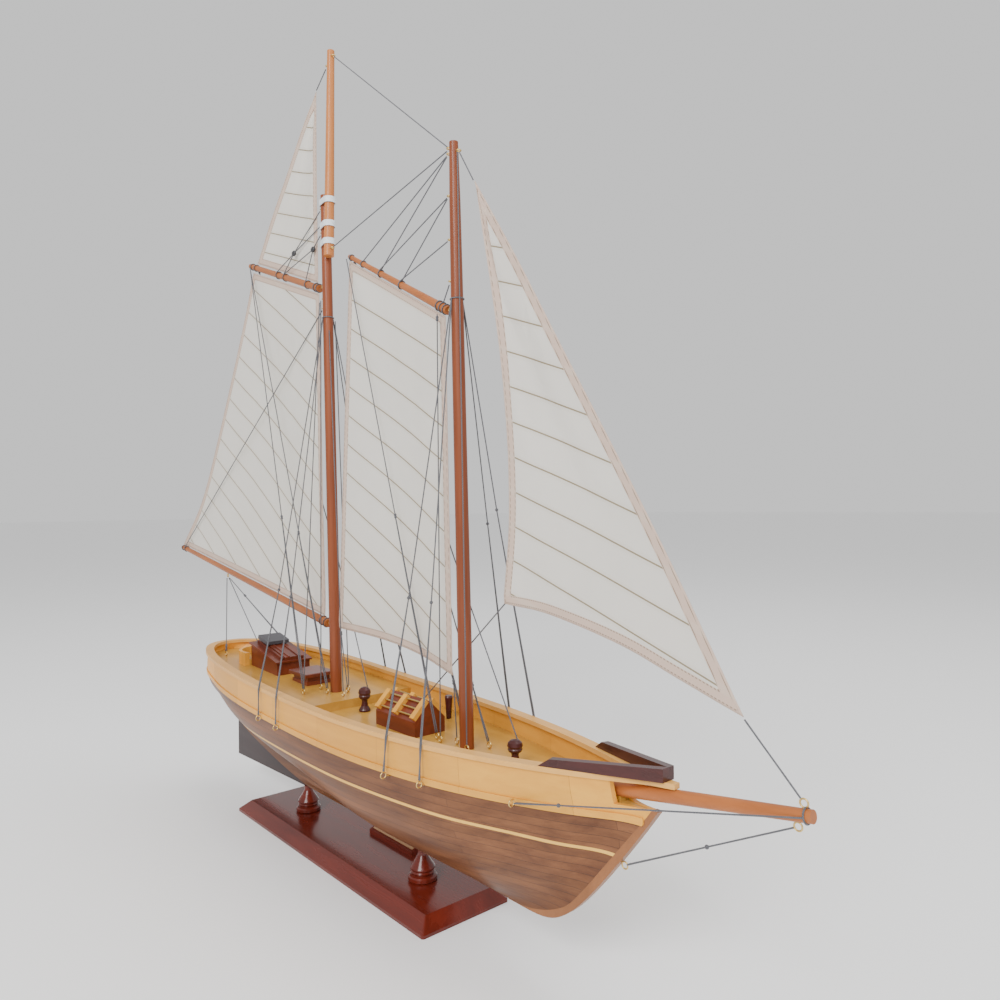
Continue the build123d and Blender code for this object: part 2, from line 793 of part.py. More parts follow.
def deck_posts():
    """Two turned bollards and the tapered post by the port bulwark."""
    shapes = []
    for x, z, tall in BOLLARDS:
        s = tall / 20.0
        profile = (
            (4.6, 0.0),
            (4.8, 1.2 * s),
            (4.2, 2.4 * s),
            (2.9, 4.4 * s),
            (2.3, 7.6 * s),
            (2.6, 9.4 * s),
            (4.2, 10.6 * s),
            (4.9, 12.4 * s),
            (4.5, 13.4 * s),
            (5.1, 15.0 * s),
            (4.6, 17.6 * s),
            (2.9, 19.4 * s),
            (0.9, 20.0 * s),
        )
        shapes.append(turned(profile, (x, 0, z)))
    post = ((2.0, 0.0), (2.2, 4.0), (2.9, 14.5), (3.2, 16.5), (2.6, 18.0))
    shapes.append(turned(post, (POST_XY[0], POST_XY[1], MAIN_DECK_Z)))
    return group(shapes)


# ================= fittings =================


def eye_on_deck(x, y, deck_z, face):
    return screw_eye((x, y, deck_z(x) + EYE_RING + 0.5), (0, 0, 1), face)


DECK_EYES_AFT = (
    (-225.0, -18.5),
    (-225.0, 18.5),
    (-140.0, 24.0),
    (-42.6, -7.7),
    (-37.0, -27.0),
    (-26.4, -10.4),
    (-25.0, 9.5),
    (-18.5, 4.5),
    (-9.5, -4.7),
)
DECK_EYES_FORE = (
    (45.0, 35.0),
    (121.4, -3.3),
    (128.9, -6.1),
    (140.0, 0.0),
    (145.4, 5.6),
    (158.2, -5.6),
    (163.2, 10.2),
)
CHAINPLATES = ((-48.0, 62.5, 112.0), (-15.0, 62.8, 111.0), (134.0, 57.0, 109.0), (166.5, 51.0, 110.0))
BOW_CHAINPLATE = (233.0, 32.0, 112.0)
STEM_EYE = (291.5, 0.0, 85.5)
TACK_RING = (397.6, 0.0, 149.6)
BOBSTAY_HOOK = (394.6, 0.0, 138.0)


def aft_eye(x, y):
    """Ring centre of an eye on the quarterdeck."""
    return (x, y, quarterdeck_z(x) + EYE_RING + 0.5)


def fore_eye(x, y):
    """Ring centre of an eye on the main deck."""
    return (x, y, main_deck_z(x) + EYE_RING + 0.5)


def deck_eyes():
    shapes = [screw_eye(aft_eye(x, y), (0, 0, 1), (0, 1, 0)) for x, y in DECK_EYES_AFT]
    shapes += [screw_eye(fore_eye(x, y), (0, 0, 1), (0, 1, 0)) for x, y in DECK_EYES_FORE]
    return group(shapes)


def side_eye(at, side):
    x, y, z = at
    return screw_eye((x, side * y, z), (0, side, 0.25), (1, 0, 0), EYE_RING, 3.5)


def chainplate_eyes():
    """Eyes in the hull's side for the shrouds, and the stem's eye for the bobstay."""
    shapes = []
    for at in CHAINPLATES + (BOW_CHAINPLATE,):
        shapes += [side_eye(at, 1), side_eye(at, -1)]
    shapes.append(screw_eye(STEM_EYE, (1, 0, -0.6), (0, 1, 0), EYE_RING, 4.0))
    return group(shapes)


def bowsprit_hooks():
    tack = screw_eye(TACK_RING, (0, 0, 1), (0, 1, 0), EYE_RING, 2.0)
    bobstay = screw_eye(BOBSTAY_HOOK, (0, 0, -1), (0, 1, 0), EYE_RING, 2.0)
    return group([tack, bobstay])


def main_radius(z):
    share = (z - MAST_STEP_Z) / (MAIN_TOP_Z - MAST_STEP_Z)
    return MAIN_RADII[0] + (MAIN_RADII[1] - MAIN_RADII[0]) * share


def fore_radius(z):
    height = z - MAST_STEP_Z
    for low, high in zip(FORE_TAPER, FORE_TAPER[1:]):
        if height <= high[0]:
            share = (height - low[0]) / (high[0] - low[0])
            return low[1] + (high[1] - low[1]) * share
    return FORE_TAPER[-1][1]


MAIN_EYE_Z = (549.8, 535.6, 528.6, 481.0, 470.0, 461.5, 449.5)
FORE_EYE_Z = (539.3, 535.3, 505.5, 474.4, 445.0, 425.2)
TOPMAST_EYES = ((-30.3, 2.9, 680.0), (-25.0, -2.5, 509.9), (-39.9, 2.8, 675.0))
LINK_GAP = 2.1


def main_aft_eye(z):
    return (main_x(z) - main_radius(z) - LINK_GAP, 0, z)


def fore_aft_eye(z):
    return (fore_x(z) - fore_radius(z) - LINK_GAP, 0, z)


FORE_FRONT_EYE_Z = 534.1
BOOM_EYE_Z = 184.9


def fore_front_eye():
    z = FORE_FRONT_EYE_Z
    return (fore_x(z) + fore_radius(z) + LINK_GAP, 0, z)


def mast_eyes():
    """Screw eyes in the masts, with their rings level."""
    shapes = []
    for z in MAIN_EYE_Z + (BOOM_EYE_Z,):
        shapes.append(screw_eye(main_aft_eye(z), (-1, 0, 0), (0, 0, 1), LINK_RING, 2.2))
    for z in FORE_EYE_Z:
        shapes.append(screw_eye(fore_aft_eye(z), (-1, 0, 0), (0, 0, 1), LINK_RING, 2.0))
    shapes.append(screw_eye(fore_front_eye(), (1, 0, 0), (0, 0, 1), LINK_RING, 2.0))
    for at, out in zip(TOPMAST_EYES, (1, 1, -1)):
        shapes.append(screw_eye(at, (out, 0, 0), (0, 0, 1), LINK_RING, 2.0))
    return group(shapes)


# ================= masts and spars =================


def main_lower_mast():
    return rod(MAIN_FOOT, (main_x(MAIN_TOP_Z), 0, MAIN_TOP_Z), *MAIN_RADII)


def main_topmast():
    return rod(TOPMAST_HEEL, TOPMAST_TOP, *TOPMAST_RADII)


def topmast_lashings():
    """Flat bands that hold the topmast's heel against the lower mast."""
    shapes = []
    for z in LASHING_Z:
        share = (z - TOPMAST_HEEL[2]) / (TOPMAST_TOP[2] - TOPMAST_HEEL[2])
        heel = between(TOPMAST_HEEL, TOPMAST_TOP, share)
        mast = (main_x(z), 0.0)
        apart = sqrt((heel[0] - mast[0]) ** 2 + (heel[1] - mast[1]) ** 2)
        turn = degrees(atan2(heel[1] - mast[1], heel[0] - mast[0]))
        middle = ((heel[0] + mast[0]) / 2, (heel[1] + mast[1]) / 2)
        inner = SlotCenterToCenter(apart, 2 * 4.72)
        outer = SlotCenterToCenter(apart, 2 * 5.4)
        band = extrude(outer - inner, LASHING_WIDTH)
        shapes.append(Pos(middle[0], middle[1], z - LASHING_WIDTH / 2) * Rot(0, 0, turn) * band)
    return group(shapes)


def fore_mast():
    profile = [(r, h) for h, r in FORE_TAPER]
    tilt = degrees(atan2(FORE_RAKE, 1))
    return Pos(*FORE_FOOT) * Rot(0, -tilt, 0) * turned(profile, (0, 0, 0))


def bowsprit():
    return rod(SPRIT_HEEL, SPRIT_TIP, *SPRIT_RADII)


def bowsprit_chock():
    """Block between the deck and the bowsprit's heel."""
    block_in = block(281.0, 291.0, -2.4, 2.4, 119.0, 126.0)
    block_in -= slab(level(100.0), lambda x: main_deck_z(x) + 0.02, 270, 305)
    return block_in - rod(SPRIT_HEEL, SPRIT_TIP, SPRIT_RADII[0] + 0.02, SPRIT_RADII[1])


def main_boom():
    return rod(BOOM_FORE, BOOM_AFT, *BOOM_RADII)


def main_gaff():
    return rod(MAIN_GAFF_THROAT, MAIN_GAFF_PEAK, *MAIN_GAFF_RADII)


def fore_gaff():
    return rod(FORE_GAFF_THROAT, FORE_GAFF_PEAK, *FORE_GAFF_RADII)


def link_eye(at, spar_end):
    """Eye in a spar's fore end, its ring upright, linked through a mast eye's level ring."""
    centre = (at[0] - LINK_RING, 0, at[2])
    neck = (centre[0] - LINK_RING + 0.1, 0, at[2])
    inside = (spar_end[0] - 2.2, 0, spar_end[2] + 0.1)
    return rod(inside, neck, WIRE) + ring(centre, (0, 1, 0), LINK_RING, WIRE)


def main_spar_eyes():
    sheet = screw_eye(MAIN_SHEET_EYE, (0, 0, -1), (0, 1, 0), LINK_RING, 2.4)
    return group(
        [
            link_eye(main_aft_eye(BOOM_EYE_Z), BOOM_FORE),
            link_eye(main_aft_eye(481.4), MAIN_GAFF_THROAT),
            sheet,
        ]
    )


def fore_spar_eyes():
    return link_eye(fore_aft_eye(425.2), FORE_GAFF_THROAT)


MAIN_SHEET_EYE = (-265.0, 0.0, 213.0)


# ================= sails =================


def sail(curves, straight):
    """Flat sail in the plane of symmetry, from curved edges and one run of straight ones."""
    edges = [curve_through(points) for points in curves]
    if straight:
        edges += list(Polyline(*[Vector(x, 0, z) for x, z in straight]).edges())
    return extrude(Face(Wire(edges)), amount=SAIL_HALF, dir=(0, 1, 0), both=True)


MAIN_PEAK = (-191.5, 526.6)
MAIN_THROAT = (-54.0, 476.6)
MAIN_TACK = (-48.5, 190.4)
MAIN_CLEW = (-400.0, 243.0)
TOPSAIL_HEAD = (-56.0, 658.0)
TOPSAIL_TACK = (-56.0, 486.8)
TOPSAIL_CLEW = (-181.5, 533.6)
FORE_PEAK = (-0.5, 493.0)
FORE_THROAT = (131.6, 421.6)
FORE_TACK = (136.0, 166.8)
FORE_CLEW = (-23.0, 182.6)
JIB_HEAD = (166.3, 507.1)
JIB_TACK = (367.1, 182.7)
JIB_CLEW = (192.2, 222.4)


def mainsail():
    leech = (MAIN_PEAK, (-221.0, 471.0), (-287.8, 362.4), (-338.7, 292.8), MAIN_CLEW)
    return sail([leech], (MAIN_CLEW, MAIN_TACK, MAIN_THROAT, MAIN_PEAK))


def main_topsail():
    leech = (TOPSAIL_HEAD, (-82.9, 632.6), (-114.9, 599.5), (-147.2, 568.6), TOPSAIL_CLEW)
    return sail([leech], (TOPSAIL_CLEW, TOPSAIL_TACK, TOPSAIL_HEAD))


def foresail():
    foot = (FORE_CLEW, (42.7, 180.9), (94.9, 175.7), FORE_TACK)
    return sail([foot], (FORE_TACK, FORE_THROAT, FORE_PEAK, FORE_CLEW))


def jib():
    luff = (JIB_HEAD, (208.6, 443.1), (246.2, 382.7), (314.4, 273.5), JIB_TACK)
    foot = (JIB_TACK, (330.1, 194.7), (289.8, 207.7), (234.4, 219.0), JIB_CLEW)
    leech = (JIB_CLEW, (197.5, 276.9), (195.5, 335.5), (187.5, 402.0), JIB_HEAD)
    return sail([luff, foot, leech], None)


# ================= standing rigging =================


def rail_edge(x, side):
    """Point just outside the cap rail's edge, where a shroud bears on it."""
    return (x, side * (rail_half(x) + THREAD + 0.25), rail_z(x) - RAIL_THICKNESS / 2)


def shroud_top(x, side, z, radius):
    return (x, side * (radius + THREAD + 0.02), z)


def main_shrouds():
    """Two pairs from a turn round the main mast down to the chainplates."""
    z = 452.0
    radius = main_radius(z)
    shapes = [ring((main_x(z), 0, z), (-MAIN_RAKE, 0, 1), radius + THREAD + 0.02, THREAD)]
    for side in (-1, 1):
        top = shroud_top(main_x(z), side, z, radius)
        for at, share in zip(CHAINPLATES[:2], (0.69, 0.70)):
            shapes.append(tied_line(top, (at[0], side * at[1], at[2]), share, rail_edge(at[0], side)))
    return group(shapes)


def fore_shrouds():
    z = 431.0
    radius = fore_radius(z)
    shape = ring((fore_x(z), 0, z), (-FORE_RAKE, 0, 1), radius + THREAD + 0.02, THREAD)
    for side, shares in ((-1, (0.64, 0.647)), (1, (0.49, 0.46))):
        top = shroud_top(fore_x(z), side, z, radius)
        for at, share in zip(CHAINPLATES[2:], shares):
            shape += tied_line(top, (at[0], side * at[1], at[2]), share, rail_edge(at[0], side))
    return shape


def eye_to_eye(a, b):
    """Taut thread between two rings."""
    return rod(stop_short(b, a, LINK_RING + EYE_CLEAR), stop_short(a, b, LINK_RING + EYE_CLEAR), THREAD)


def mast_stays():
    top_eye = fore_aft_eye(539.3)
    spring_stay = eye_to_eye(TOPMAST_EYES[0], top_eye)
    triatic = eye_to_eye(TOPMAST_EYES[1], (top_eye[0] - 0.6, 0, top_eye[2] - 0.9))
    return group([spring_stay, triatic])


def mast_falls():
    """Halyards' falls, from the masts down to the deck, and the jib's halyard and sheet."""
    front = fore_front_eye()
    lines = [
        plain_line((main_aft_eye(470.0)[0] - 1.2, -2.4, 468.4), drop(aft_eye(-42.6, -7.7))),
        plain_line((main_aft_eye(470.0)[0] + 0.6, -4.6, 466.0), drop(aft_eye(-37.0, -27.0))),
        plain_line((main_x(449.5) + 2.5, 5.6, 449.5), drop(aft_eye(-25.0, 9.5))),
        plain_line((main_x(440.0) + 5.4, -2.2, 440.0), drop(aft_eye(-9.5, -4.7))),
        plain_line((front[0], -1.2, front[2] - 1.4), drop(fore_eye(158.2, -5.6))),
        plain_line(stop_short((163.8, 0, 507.9), front, LINK_RING + EYE_CLEAR), (164.3, 0, 508.6)),
        plain_line((191.7, 0.9, 222.2), drop(fore_eye(45.0, 35.0))),
    ]
    return group(lines)


def drop(eye):
    """End of a thread that comes down to the top of a deck eye's ring."""
    return (eye[0], eye[1], eye[2] + EYE_RING + WIRE + 0.1)


def bow_lines():
    """Bobstay, bowsprit shrouds and the jib's tack line."""
    share = 1 - 3.0 / (SPRIT_TIP[0] - SPRIT_HEEL[0])
    radius = SPRIT_RADII[0] + (SPRIT_RADII[1] - SPRIT_RADII[0]) * share
    tip = between(SPRIT_HEEL, SPRIT_TIP, share)
    shape = wrap(SPRIT_HEEL, SPRIT_TIP, share, radius)
    for side in (-1, 1):
        start = (tip[0], side * (radius + THREAD + 0.02), tip[2])
        eye = (BOW_CHAINPLATE[0], side * BOW_CHAINPLATE[1], BOW_CHAINPLATE[2])
        shape += tied_line(start, eye, 0.8)
    bobstay = tied_line(
        stop_short(STEM_EYE, BOBSTAY_HOOK, EYE_RING + WIRE + 0.05), STEM_EYE, 0.467
    )
    tack = plain_line((367.5, 0, 181.6), stop_short((367.5, 0, 181.6), TACK_RING, EYE_RING + WIRE + 0.05))
    return group([shape, bobstay, tack])


# ================= lines that turn with the gaffs =================


def spar_point(start, end, share, radii, around, gap):
    """Point just off a spar's surface; around turns from straight up towards starboard."""
    centre = between(start, end, share)
    axis = unit(tuple(q - p for p, q in zip(start, end)))
    up = unit((-axis[0] * axis[2], 0, 1 - axis[2] ** 2))
    reach = radii[0] + (radii[1] - radii[0]) * share + gap
    rise = reach * cos(radians(around))
    out = -reach * sin(radians(around))
    return (centre[0] + up[0] * rise, out, centre[2] + up[2] * rise)


def main_gaff_point(x, around, gap=0.9):
    share = (MAIN_GAFF_THROAT[0] - x) / (MAIN_GAFF_THROAT[0] - MAIN_GAFF_PEAK[0])
    return spar_point(MAIN_GAFF_THROAT, MAIN_GAFF_PEAK, share, MAIN_GAFF_RADII, around, gap)


def spar_wrap(start, end, radii, x):
    share = (start[0] - x) / (start[0] - end[0])
    return wrap(start, end, share, radii[0] + (radii[1] - radii[0]) * share)


PEAK_BLOCKS = ((-96.8, -2.6, 522.7), (-59.7, -2.6, 517.1))
MAIN_GAFF_TURNS = (-133.7, -118.8, -74.6)


def peak_blocks():
    """Small oval blocks in the main peak halyard."""
    shapes = []
    for at in PEAK_BLOCKS:
        block_body = scale(Sphere(1.0), by=(3.3, 1.7, 2.6))
        shapes.append(Pos(*at) * block_body)
    return group(shapes)


def main_peak_lines():
    """Peak halyard through its blocks, topsail halyard and topping lift."""
    gaff = (MAIN_GAFF_THROAT, MAIN_GAFF_PEAK, MAIN_GAFF_RADII)
    shape = None
    for x in MAIN_GAFF_TURNS:
        turn = spar_wrap(*gaff, x)
        shape = turn if shape is None else shape + turn
    first, second = PEAK_BLOCKS
    ends = [
        (off_mast(549.8, first), first),
        (off_mast(535.6, first), first),
        (off_mast(528.6, second), second),
        (first, main_gaff_point(MAIN_GAFF_TURNS[0], 45)),
        (first, main_gaff_point(MAIN_GAFF_TURNS[1], 45)),
        (second, main_gaff_point(MAIN_GAFF_TURNS[1], 40)),
        (second, main_gaff_point(MAIN_GAFF_TURNS[2], 45)),
    ]
    for a, b in ends:
        shape += plain_line(a, b)
    shape -= peak_blocks()
    halyard = plain_line((-42.6, 2.4, 673.2), (-55.6, 0, 658.9))
    lift_low = spar_point(BOOM_FORE, BOOM_AFT, 0.967, BOOM_RADII, 60, 0.9)
    lift = plain_line(off_mast(461.5, lift_low), lift_low)
    lift += spar_wrap(BOOM_FORE, BOOM_AFT, BOOM_RADII, -390.0)
    return group([shape, halyard, lift])


def off_mast(z, towards):
    """Thread end that stays clear of a mast eye's ring while the rig turns."""
    eye = main_aft_eye(z)
    start = (eye[0], -0.8, eye[2])
    return stop_short(towards, start, LINK_RING + 1.1)


def off_foremast(z, towards):
    eye = fore_aft_eye(z)
    return stop_short(towards, (eye[0], -0.5, eye[2]), LINK_RING + 1.1)


def main_spar_loops():
    """Turns of thread that lash the sails' corners to the boom and gaff."""
    boom = (BOOM_FORE, BOOM_AFT, BOOM_RADII)
    gaff = (MAIN_GAFF_THROAT, MAIN_GAFF_PEAK, MAIN_GAFF_RADII)
    shapes = [spar_wrap(*boom, x) for x in (-44.5, -52.0, -398.5)]
    shapes += [spar_wrap(*gaff, x) for x in (-53.5, -58.5, -184.0, -192.5)]
    return group(shapes)


FORE_GAFF_TURNS = (21.3, 47.7, 76.6)


def fore_gaff_point(x, around, gap=0.9):
    share = (FORE_GAFF_THROAT[0] - x) / (FORE_GAFF_THROAT[0] - FORE_GAFF_PEAK[0])
    return spar_point(FORE_GAFF_THROAT, FORE_GAFF_PEAK, share, FORE_GAFF_RADII, around, gap)


def fore_peak_lines():
    """Fore peak and throat halyards, and the turns of thread round the fore gaff."""
    gaff = (FORE_GAFF_THROAT, FORE_GAFF_PEAK, FORE_GAFF_RADII)
    shape = None
    for x in FORE_GAFF_TURNS + (128.5,):
        turn = spar_wrap(*gaff, x)
        shape = turn if shape is None else shape + turn
    far, middle, near = FORE_GAFF_TURNS
    leads = ((535.3, far, 8), (535.3, middle, 8), (505.5, middle, 40), (505.5, near, 8), (474.4, near, 40))
    for z, x, around in leads:
        end = fore_gaff_point(x, around)
        shape += plain_line(off_foremast(z, end), end)
    throat = fore_gaff_point(128.5, 8)
    shape += plain_line(off_foremast(445.0, throat), throat)
    lashings = [spar_wrap(*gaff, x) for x in (132.5, 124.5, 3.0)]
    return group([shape] + lashings)


# ================= lines between the swinging rigs and the deck =================


def bent_line(start, bend, end):
    return rod(start, bend, THREAD) + ball(bend, THREAD) + rod(bend, end, THREAD)


def main_guys():
    """Vangs from the main gaff's peak and the main sheets under the boom."""
    peak = [(-190.0, side * 4.6, 530.4) for side in (-1, 1)]
    sheet = [(-265.0, side * 1.1, 210.3) for side in (-1, 1)]
    shapes = [
        tied_line(peak[0], aft_eye(-37.0, -27.0), 0.635),
        tied_line(peak[0], aft_eye(-26.4, -10.4), 0.67),
        bent_line(peak[1], (-33.9, 5.9, 238.0), (15.6, 3.6, 138.0)),
        tied_line(sheet[0], aft_eye(-225.0, -18.5), 0.93),
        tied_line(sheet[1], aft_eye(-225.0, 18.5), 0.93),
        plain_line((-263.4, 1.4, 210.0), drop(aft_eye(-140.0, 24.0))),
    ]
    return group(shapes)


def fore_guys():
    """Vangs from the fore gaff's peak, and the foresail's tack line and sheet."""
    peak = [(0.5, side * 3.6, 493.5) for side in (-1, 1)]
    shapes = [
        tied_line(peak[0], fore_eye(121.4, -3.3), 0.58),
        tied_line(peak[1], fore_eye(145.4, 5.6), 0.635),
        tied_line(peak[1], fore_eye(163.2, 10.2), 0.9),
        bent_line(peak[1], (148.4, 5.9, 218.0), (201.0, 3.2, 133.0)),
        plain_line((136.6, 0, 165.2), drop(fore_eye(140.0, 0.0))),
        plain_line((127.6, -4.4, 423.0), drop(fore_eye(128.9, -6.1))),
        plain_line((-22.6, 0.9, 181.0), drop(aft_eye(-18.5, 4.5))),
    ]
    return group(shapes)


# ================= export =================


def build():
    outer = hull_volume(0.0, HULL_LEVELS)
    around = hull_volume(-GLUE_LINE, HULL_LEVELS)
    inner = hull_volume(PLANK_THICKNESS, INNER_LEVELS)
    hold = hull_volume(PLANK_THICKNESS + DECK_GAP, INNER_LEVELS)
    holes = screw_holes()
    planking = outer - inner - waterline_band(outer, 0.0)
    planking -= slab(strake_z, level(160.0), -290, 340)
    skeg = skeg_plate(around)
    for hole in holes:
        planking -= hole
        skeg -= hole
    return {
        "base_board": base_board(),
        "pedestals": pedestals(),
        "stand_screws": stand_screws(),
        "name_block": name_block(),
        "name_plate": name_plate(),
        "hull_planking": planking,
        "hull_frames": frames(hold),
        "keel_stem": stem_strip(around),
        "skeg_plate": skeg,
        "waterline_stripe": waterline_band(outer, GLUE_LINE),
        "rubbing_strake": rubbing_strake(around),
        "main_deck": main_deck(hold),
        "quarterdeck": quarterdeck(hold),
        "bulwark_port": bulwark(outer, inner, 1),
        "bulwark_starboard": bulwark(outer, inner, -1),
        "cap_rail_port": cap_rail(1),
        "cap_rail_starboard": cap_rail(-1),
        "bow_rails": bow_rails(),
        "cockpit_coaming": cockpit_coaming(),
        "cockpit_seat": cockpit_seat(),
        "cabin_house": cabin_house(),
        "cabin_roof": cabin_roof(),
        "cabin_slides": cabin_slides(),
        "cabin_lid": cabin_lid(),
        "small_hatch_box": small_hatch_box(),
        "small_hatch_lid": small_hatch_lid(),
        "skylight_box": skylight_box(),
        "skylight_bars": skylight_bars(),
        "skylight_rods": skylight_rods(),
        "deck_posts": deck_posts(),
        "deck_eyes": deck_eyes(),
        "chainplate_eyes": chainplate_eyes(),
        "mast_eyes": mast_eyes(),
        "main_lower_mast": main_lower_mast(),
        "main_topmast": main_topmast(),
        "topmast_lashings": topmast_lashings(),
        "fore_mast": fore_mast(),
        "bowsprit": bowsprit(),
        "bowsprit_chock": bowsprit_chock(),
        "bowsprit_hooks": bowsprit_hooks(),
        "main_boom": main_boom(),
        "main_gaff": main_gaff(),
        "main_spar_eyes": main_spar_eyes(),
        "main_spar_loops": main_spar_loops(),
        "peak_blocks": peak_blocks(),
        "mainsail": mainsail(),
        "main_topsail": main_topsail(),
        "main_peak_lines": main_peak_lines(),
        "fore_gaff": fore_gaff(),
        "fore_spar_eyes": fore_spar_eyes(),
        "foresail": foresail(),
        "fore_peak_lines": fore_peak_lines(),
        "jib": jib(),
        "main_shrouds": main_shrouds(),
        "fore_shrouds": fore_shrouds(),
        "mast_stays": mast_stays(),
        "mast_falls": mast_falls(),
        "bow_lines": bow_lines(),
        "main_guys": main_guys(),
        "fore_guys": fore_guys(),
    }


os.makedirs("parts", exist_ok=True)
for node, shape in build().items():
    export_step(shape, f"parts/{node}.step")
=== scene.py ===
import json
import math
import bpy
from mathutils import Matrix, Vector


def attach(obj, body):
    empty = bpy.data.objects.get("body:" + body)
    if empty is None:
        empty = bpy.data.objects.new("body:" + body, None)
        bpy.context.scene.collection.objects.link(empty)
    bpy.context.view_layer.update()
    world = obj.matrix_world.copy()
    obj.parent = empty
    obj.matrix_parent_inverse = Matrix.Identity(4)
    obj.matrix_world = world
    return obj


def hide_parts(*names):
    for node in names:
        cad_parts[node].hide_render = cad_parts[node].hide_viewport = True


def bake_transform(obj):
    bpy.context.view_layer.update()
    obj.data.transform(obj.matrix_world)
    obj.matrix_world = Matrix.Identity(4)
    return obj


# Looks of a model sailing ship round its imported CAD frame. All lengths are metres.
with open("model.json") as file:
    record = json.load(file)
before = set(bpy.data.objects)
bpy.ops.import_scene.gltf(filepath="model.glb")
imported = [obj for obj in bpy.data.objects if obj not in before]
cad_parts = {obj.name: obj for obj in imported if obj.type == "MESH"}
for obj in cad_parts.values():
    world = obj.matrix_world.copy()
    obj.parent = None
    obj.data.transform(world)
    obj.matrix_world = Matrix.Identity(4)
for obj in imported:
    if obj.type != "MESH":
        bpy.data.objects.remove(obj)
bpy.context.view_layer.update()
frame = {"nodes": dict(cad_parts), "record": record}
MM = 0.001

# ---- camera ----
CAMERA_PLACE = Vector((0.5779, -0.3383, 0.2867))
CAMERA_YAW = math.radians(48.892)
CAMERA_PITCH = math.radians(0.325)
CAMERA_ROLL = math.radians(-0.589)
CAMERA_LENS = 28.27

# ---- sails: corners and curved edges as (x, z) in millimetres, in the plane of symmetry ----
MAIN_PEAK = (-191.5, 526.6)
MAIN_THROAT = (-54.0, 476.6)
MAIN_TACK = (-48.5, 190.4)
MAIN_CLEW = (-400.0, 243.0)
TOPSAIL_HEAD = (-56.0, 658.0)
TOPSAIL_TACK = (-56.0, 486.8)
TOPSAIL_CLEW = (-181.5, 533.6)
FORE_PEAK = (-0.5, 493.0)
FORE_THROAT = (131.6, 421.6)
FORE_TACK = (136.0, 166.8)
FORE_CLEW = (-23.0, 182.6)
JIB_HEAD = (166.3, 507.1)
JIB_TACK = (367.1, 182.7)
JIB_CLEW = (192.2, 222.4)
SAIL_THICKNESS = 0.5 * MM
HEM_WIDTH = 6.2 * MM
CURVE_STEPS = 24
BREEZE = 0.6
SETTLE_FRAMES = 16

# ---- planking: the plank lines rise from the lowest point of the sheer to both ends ----
SHEER_LOW_X = 0.09
SHEER_CURVE = 0.075
PLANK_SEAM = 0.16 * MM


def material(name):
    made = bpy.data.materials.new(name)
    made.use_nodes = True
    nodes = made.node_tree.nodes
    shader = next(n for n in nodes if n.type == "BSDF_PRINCIPLED")
    return made, nodes, made.node_tree.links, shader


def node(nodes, kind, **values):
    made = nodes.new(kind)
    for key, value in values.items():
        if hasattr(made, key):
            setattr(made, key, value)
        else:
            made.inputs[key].default_value = value
    return made


def maths(nodes, links, operation, a, b=None, c=None):
    made = nodes.new("ShaderNodeMath")
    made.operation = operation
    for slot, value in zip(made.inputs, (a, b, c)):
        if value is None:
            continue
        if isinstance(value, (int, float)):
            slot.default_value = value
        else:
            links.new(value, slot)
    return made.outputs[0]


def mixed(nodes, links, factor, a, b, blend="MIX"):
    made = nodes.new("ShaderNodeMix")
    made.data_type = "RGBA"
    made.blend_type = blend
    slots = (made.inputs["Factor"], made.inputs["A"], made.inputs["B"])
    for slot, value in zip(slots, (factor, a, b)):
        if isinstance(value, (int, float)):
            slot.default_value = value
        elif isinstance(value, tuple):
            slot.default_value = (*value, 1.0)
        else:
            links.new(value, slot)
    return made.outputs["Result"]


def place_split(nodes, links):
    coords = nodes.new("ShaderNodeTexCoord")
    split = nodes.new("ShaderNodeSeparateXYZ")
    links.new(coords.outputs["Object"], split.inputs[0])
    return coords.outputs["Object"], split.outputs


def joined(nodes, links, x, y, z):
    made = nodes.new("ShaderNodeCombineXYZ")
    for slot, value in zip(made.inputs, (x, y, z)):
        if isinstance(value, (int, float)):
            slot.default_value = value
        else:
            links.new(value, slot)
    return made.outputs[0]


def bumped(nodes, links, height, strength, distance, shader, normal=None):
    bump = node(nodes, "ShaderNodeBump", Strength=strength, Distance=distance)
    links.new(height, bump.inputs["Height"])
    if normal is not None:
        links.new(normal, bump.inputs["Normal"])
    links.new(bump.outputs[0], shader.inputs["Normal"])
    return bump.outputs[0]


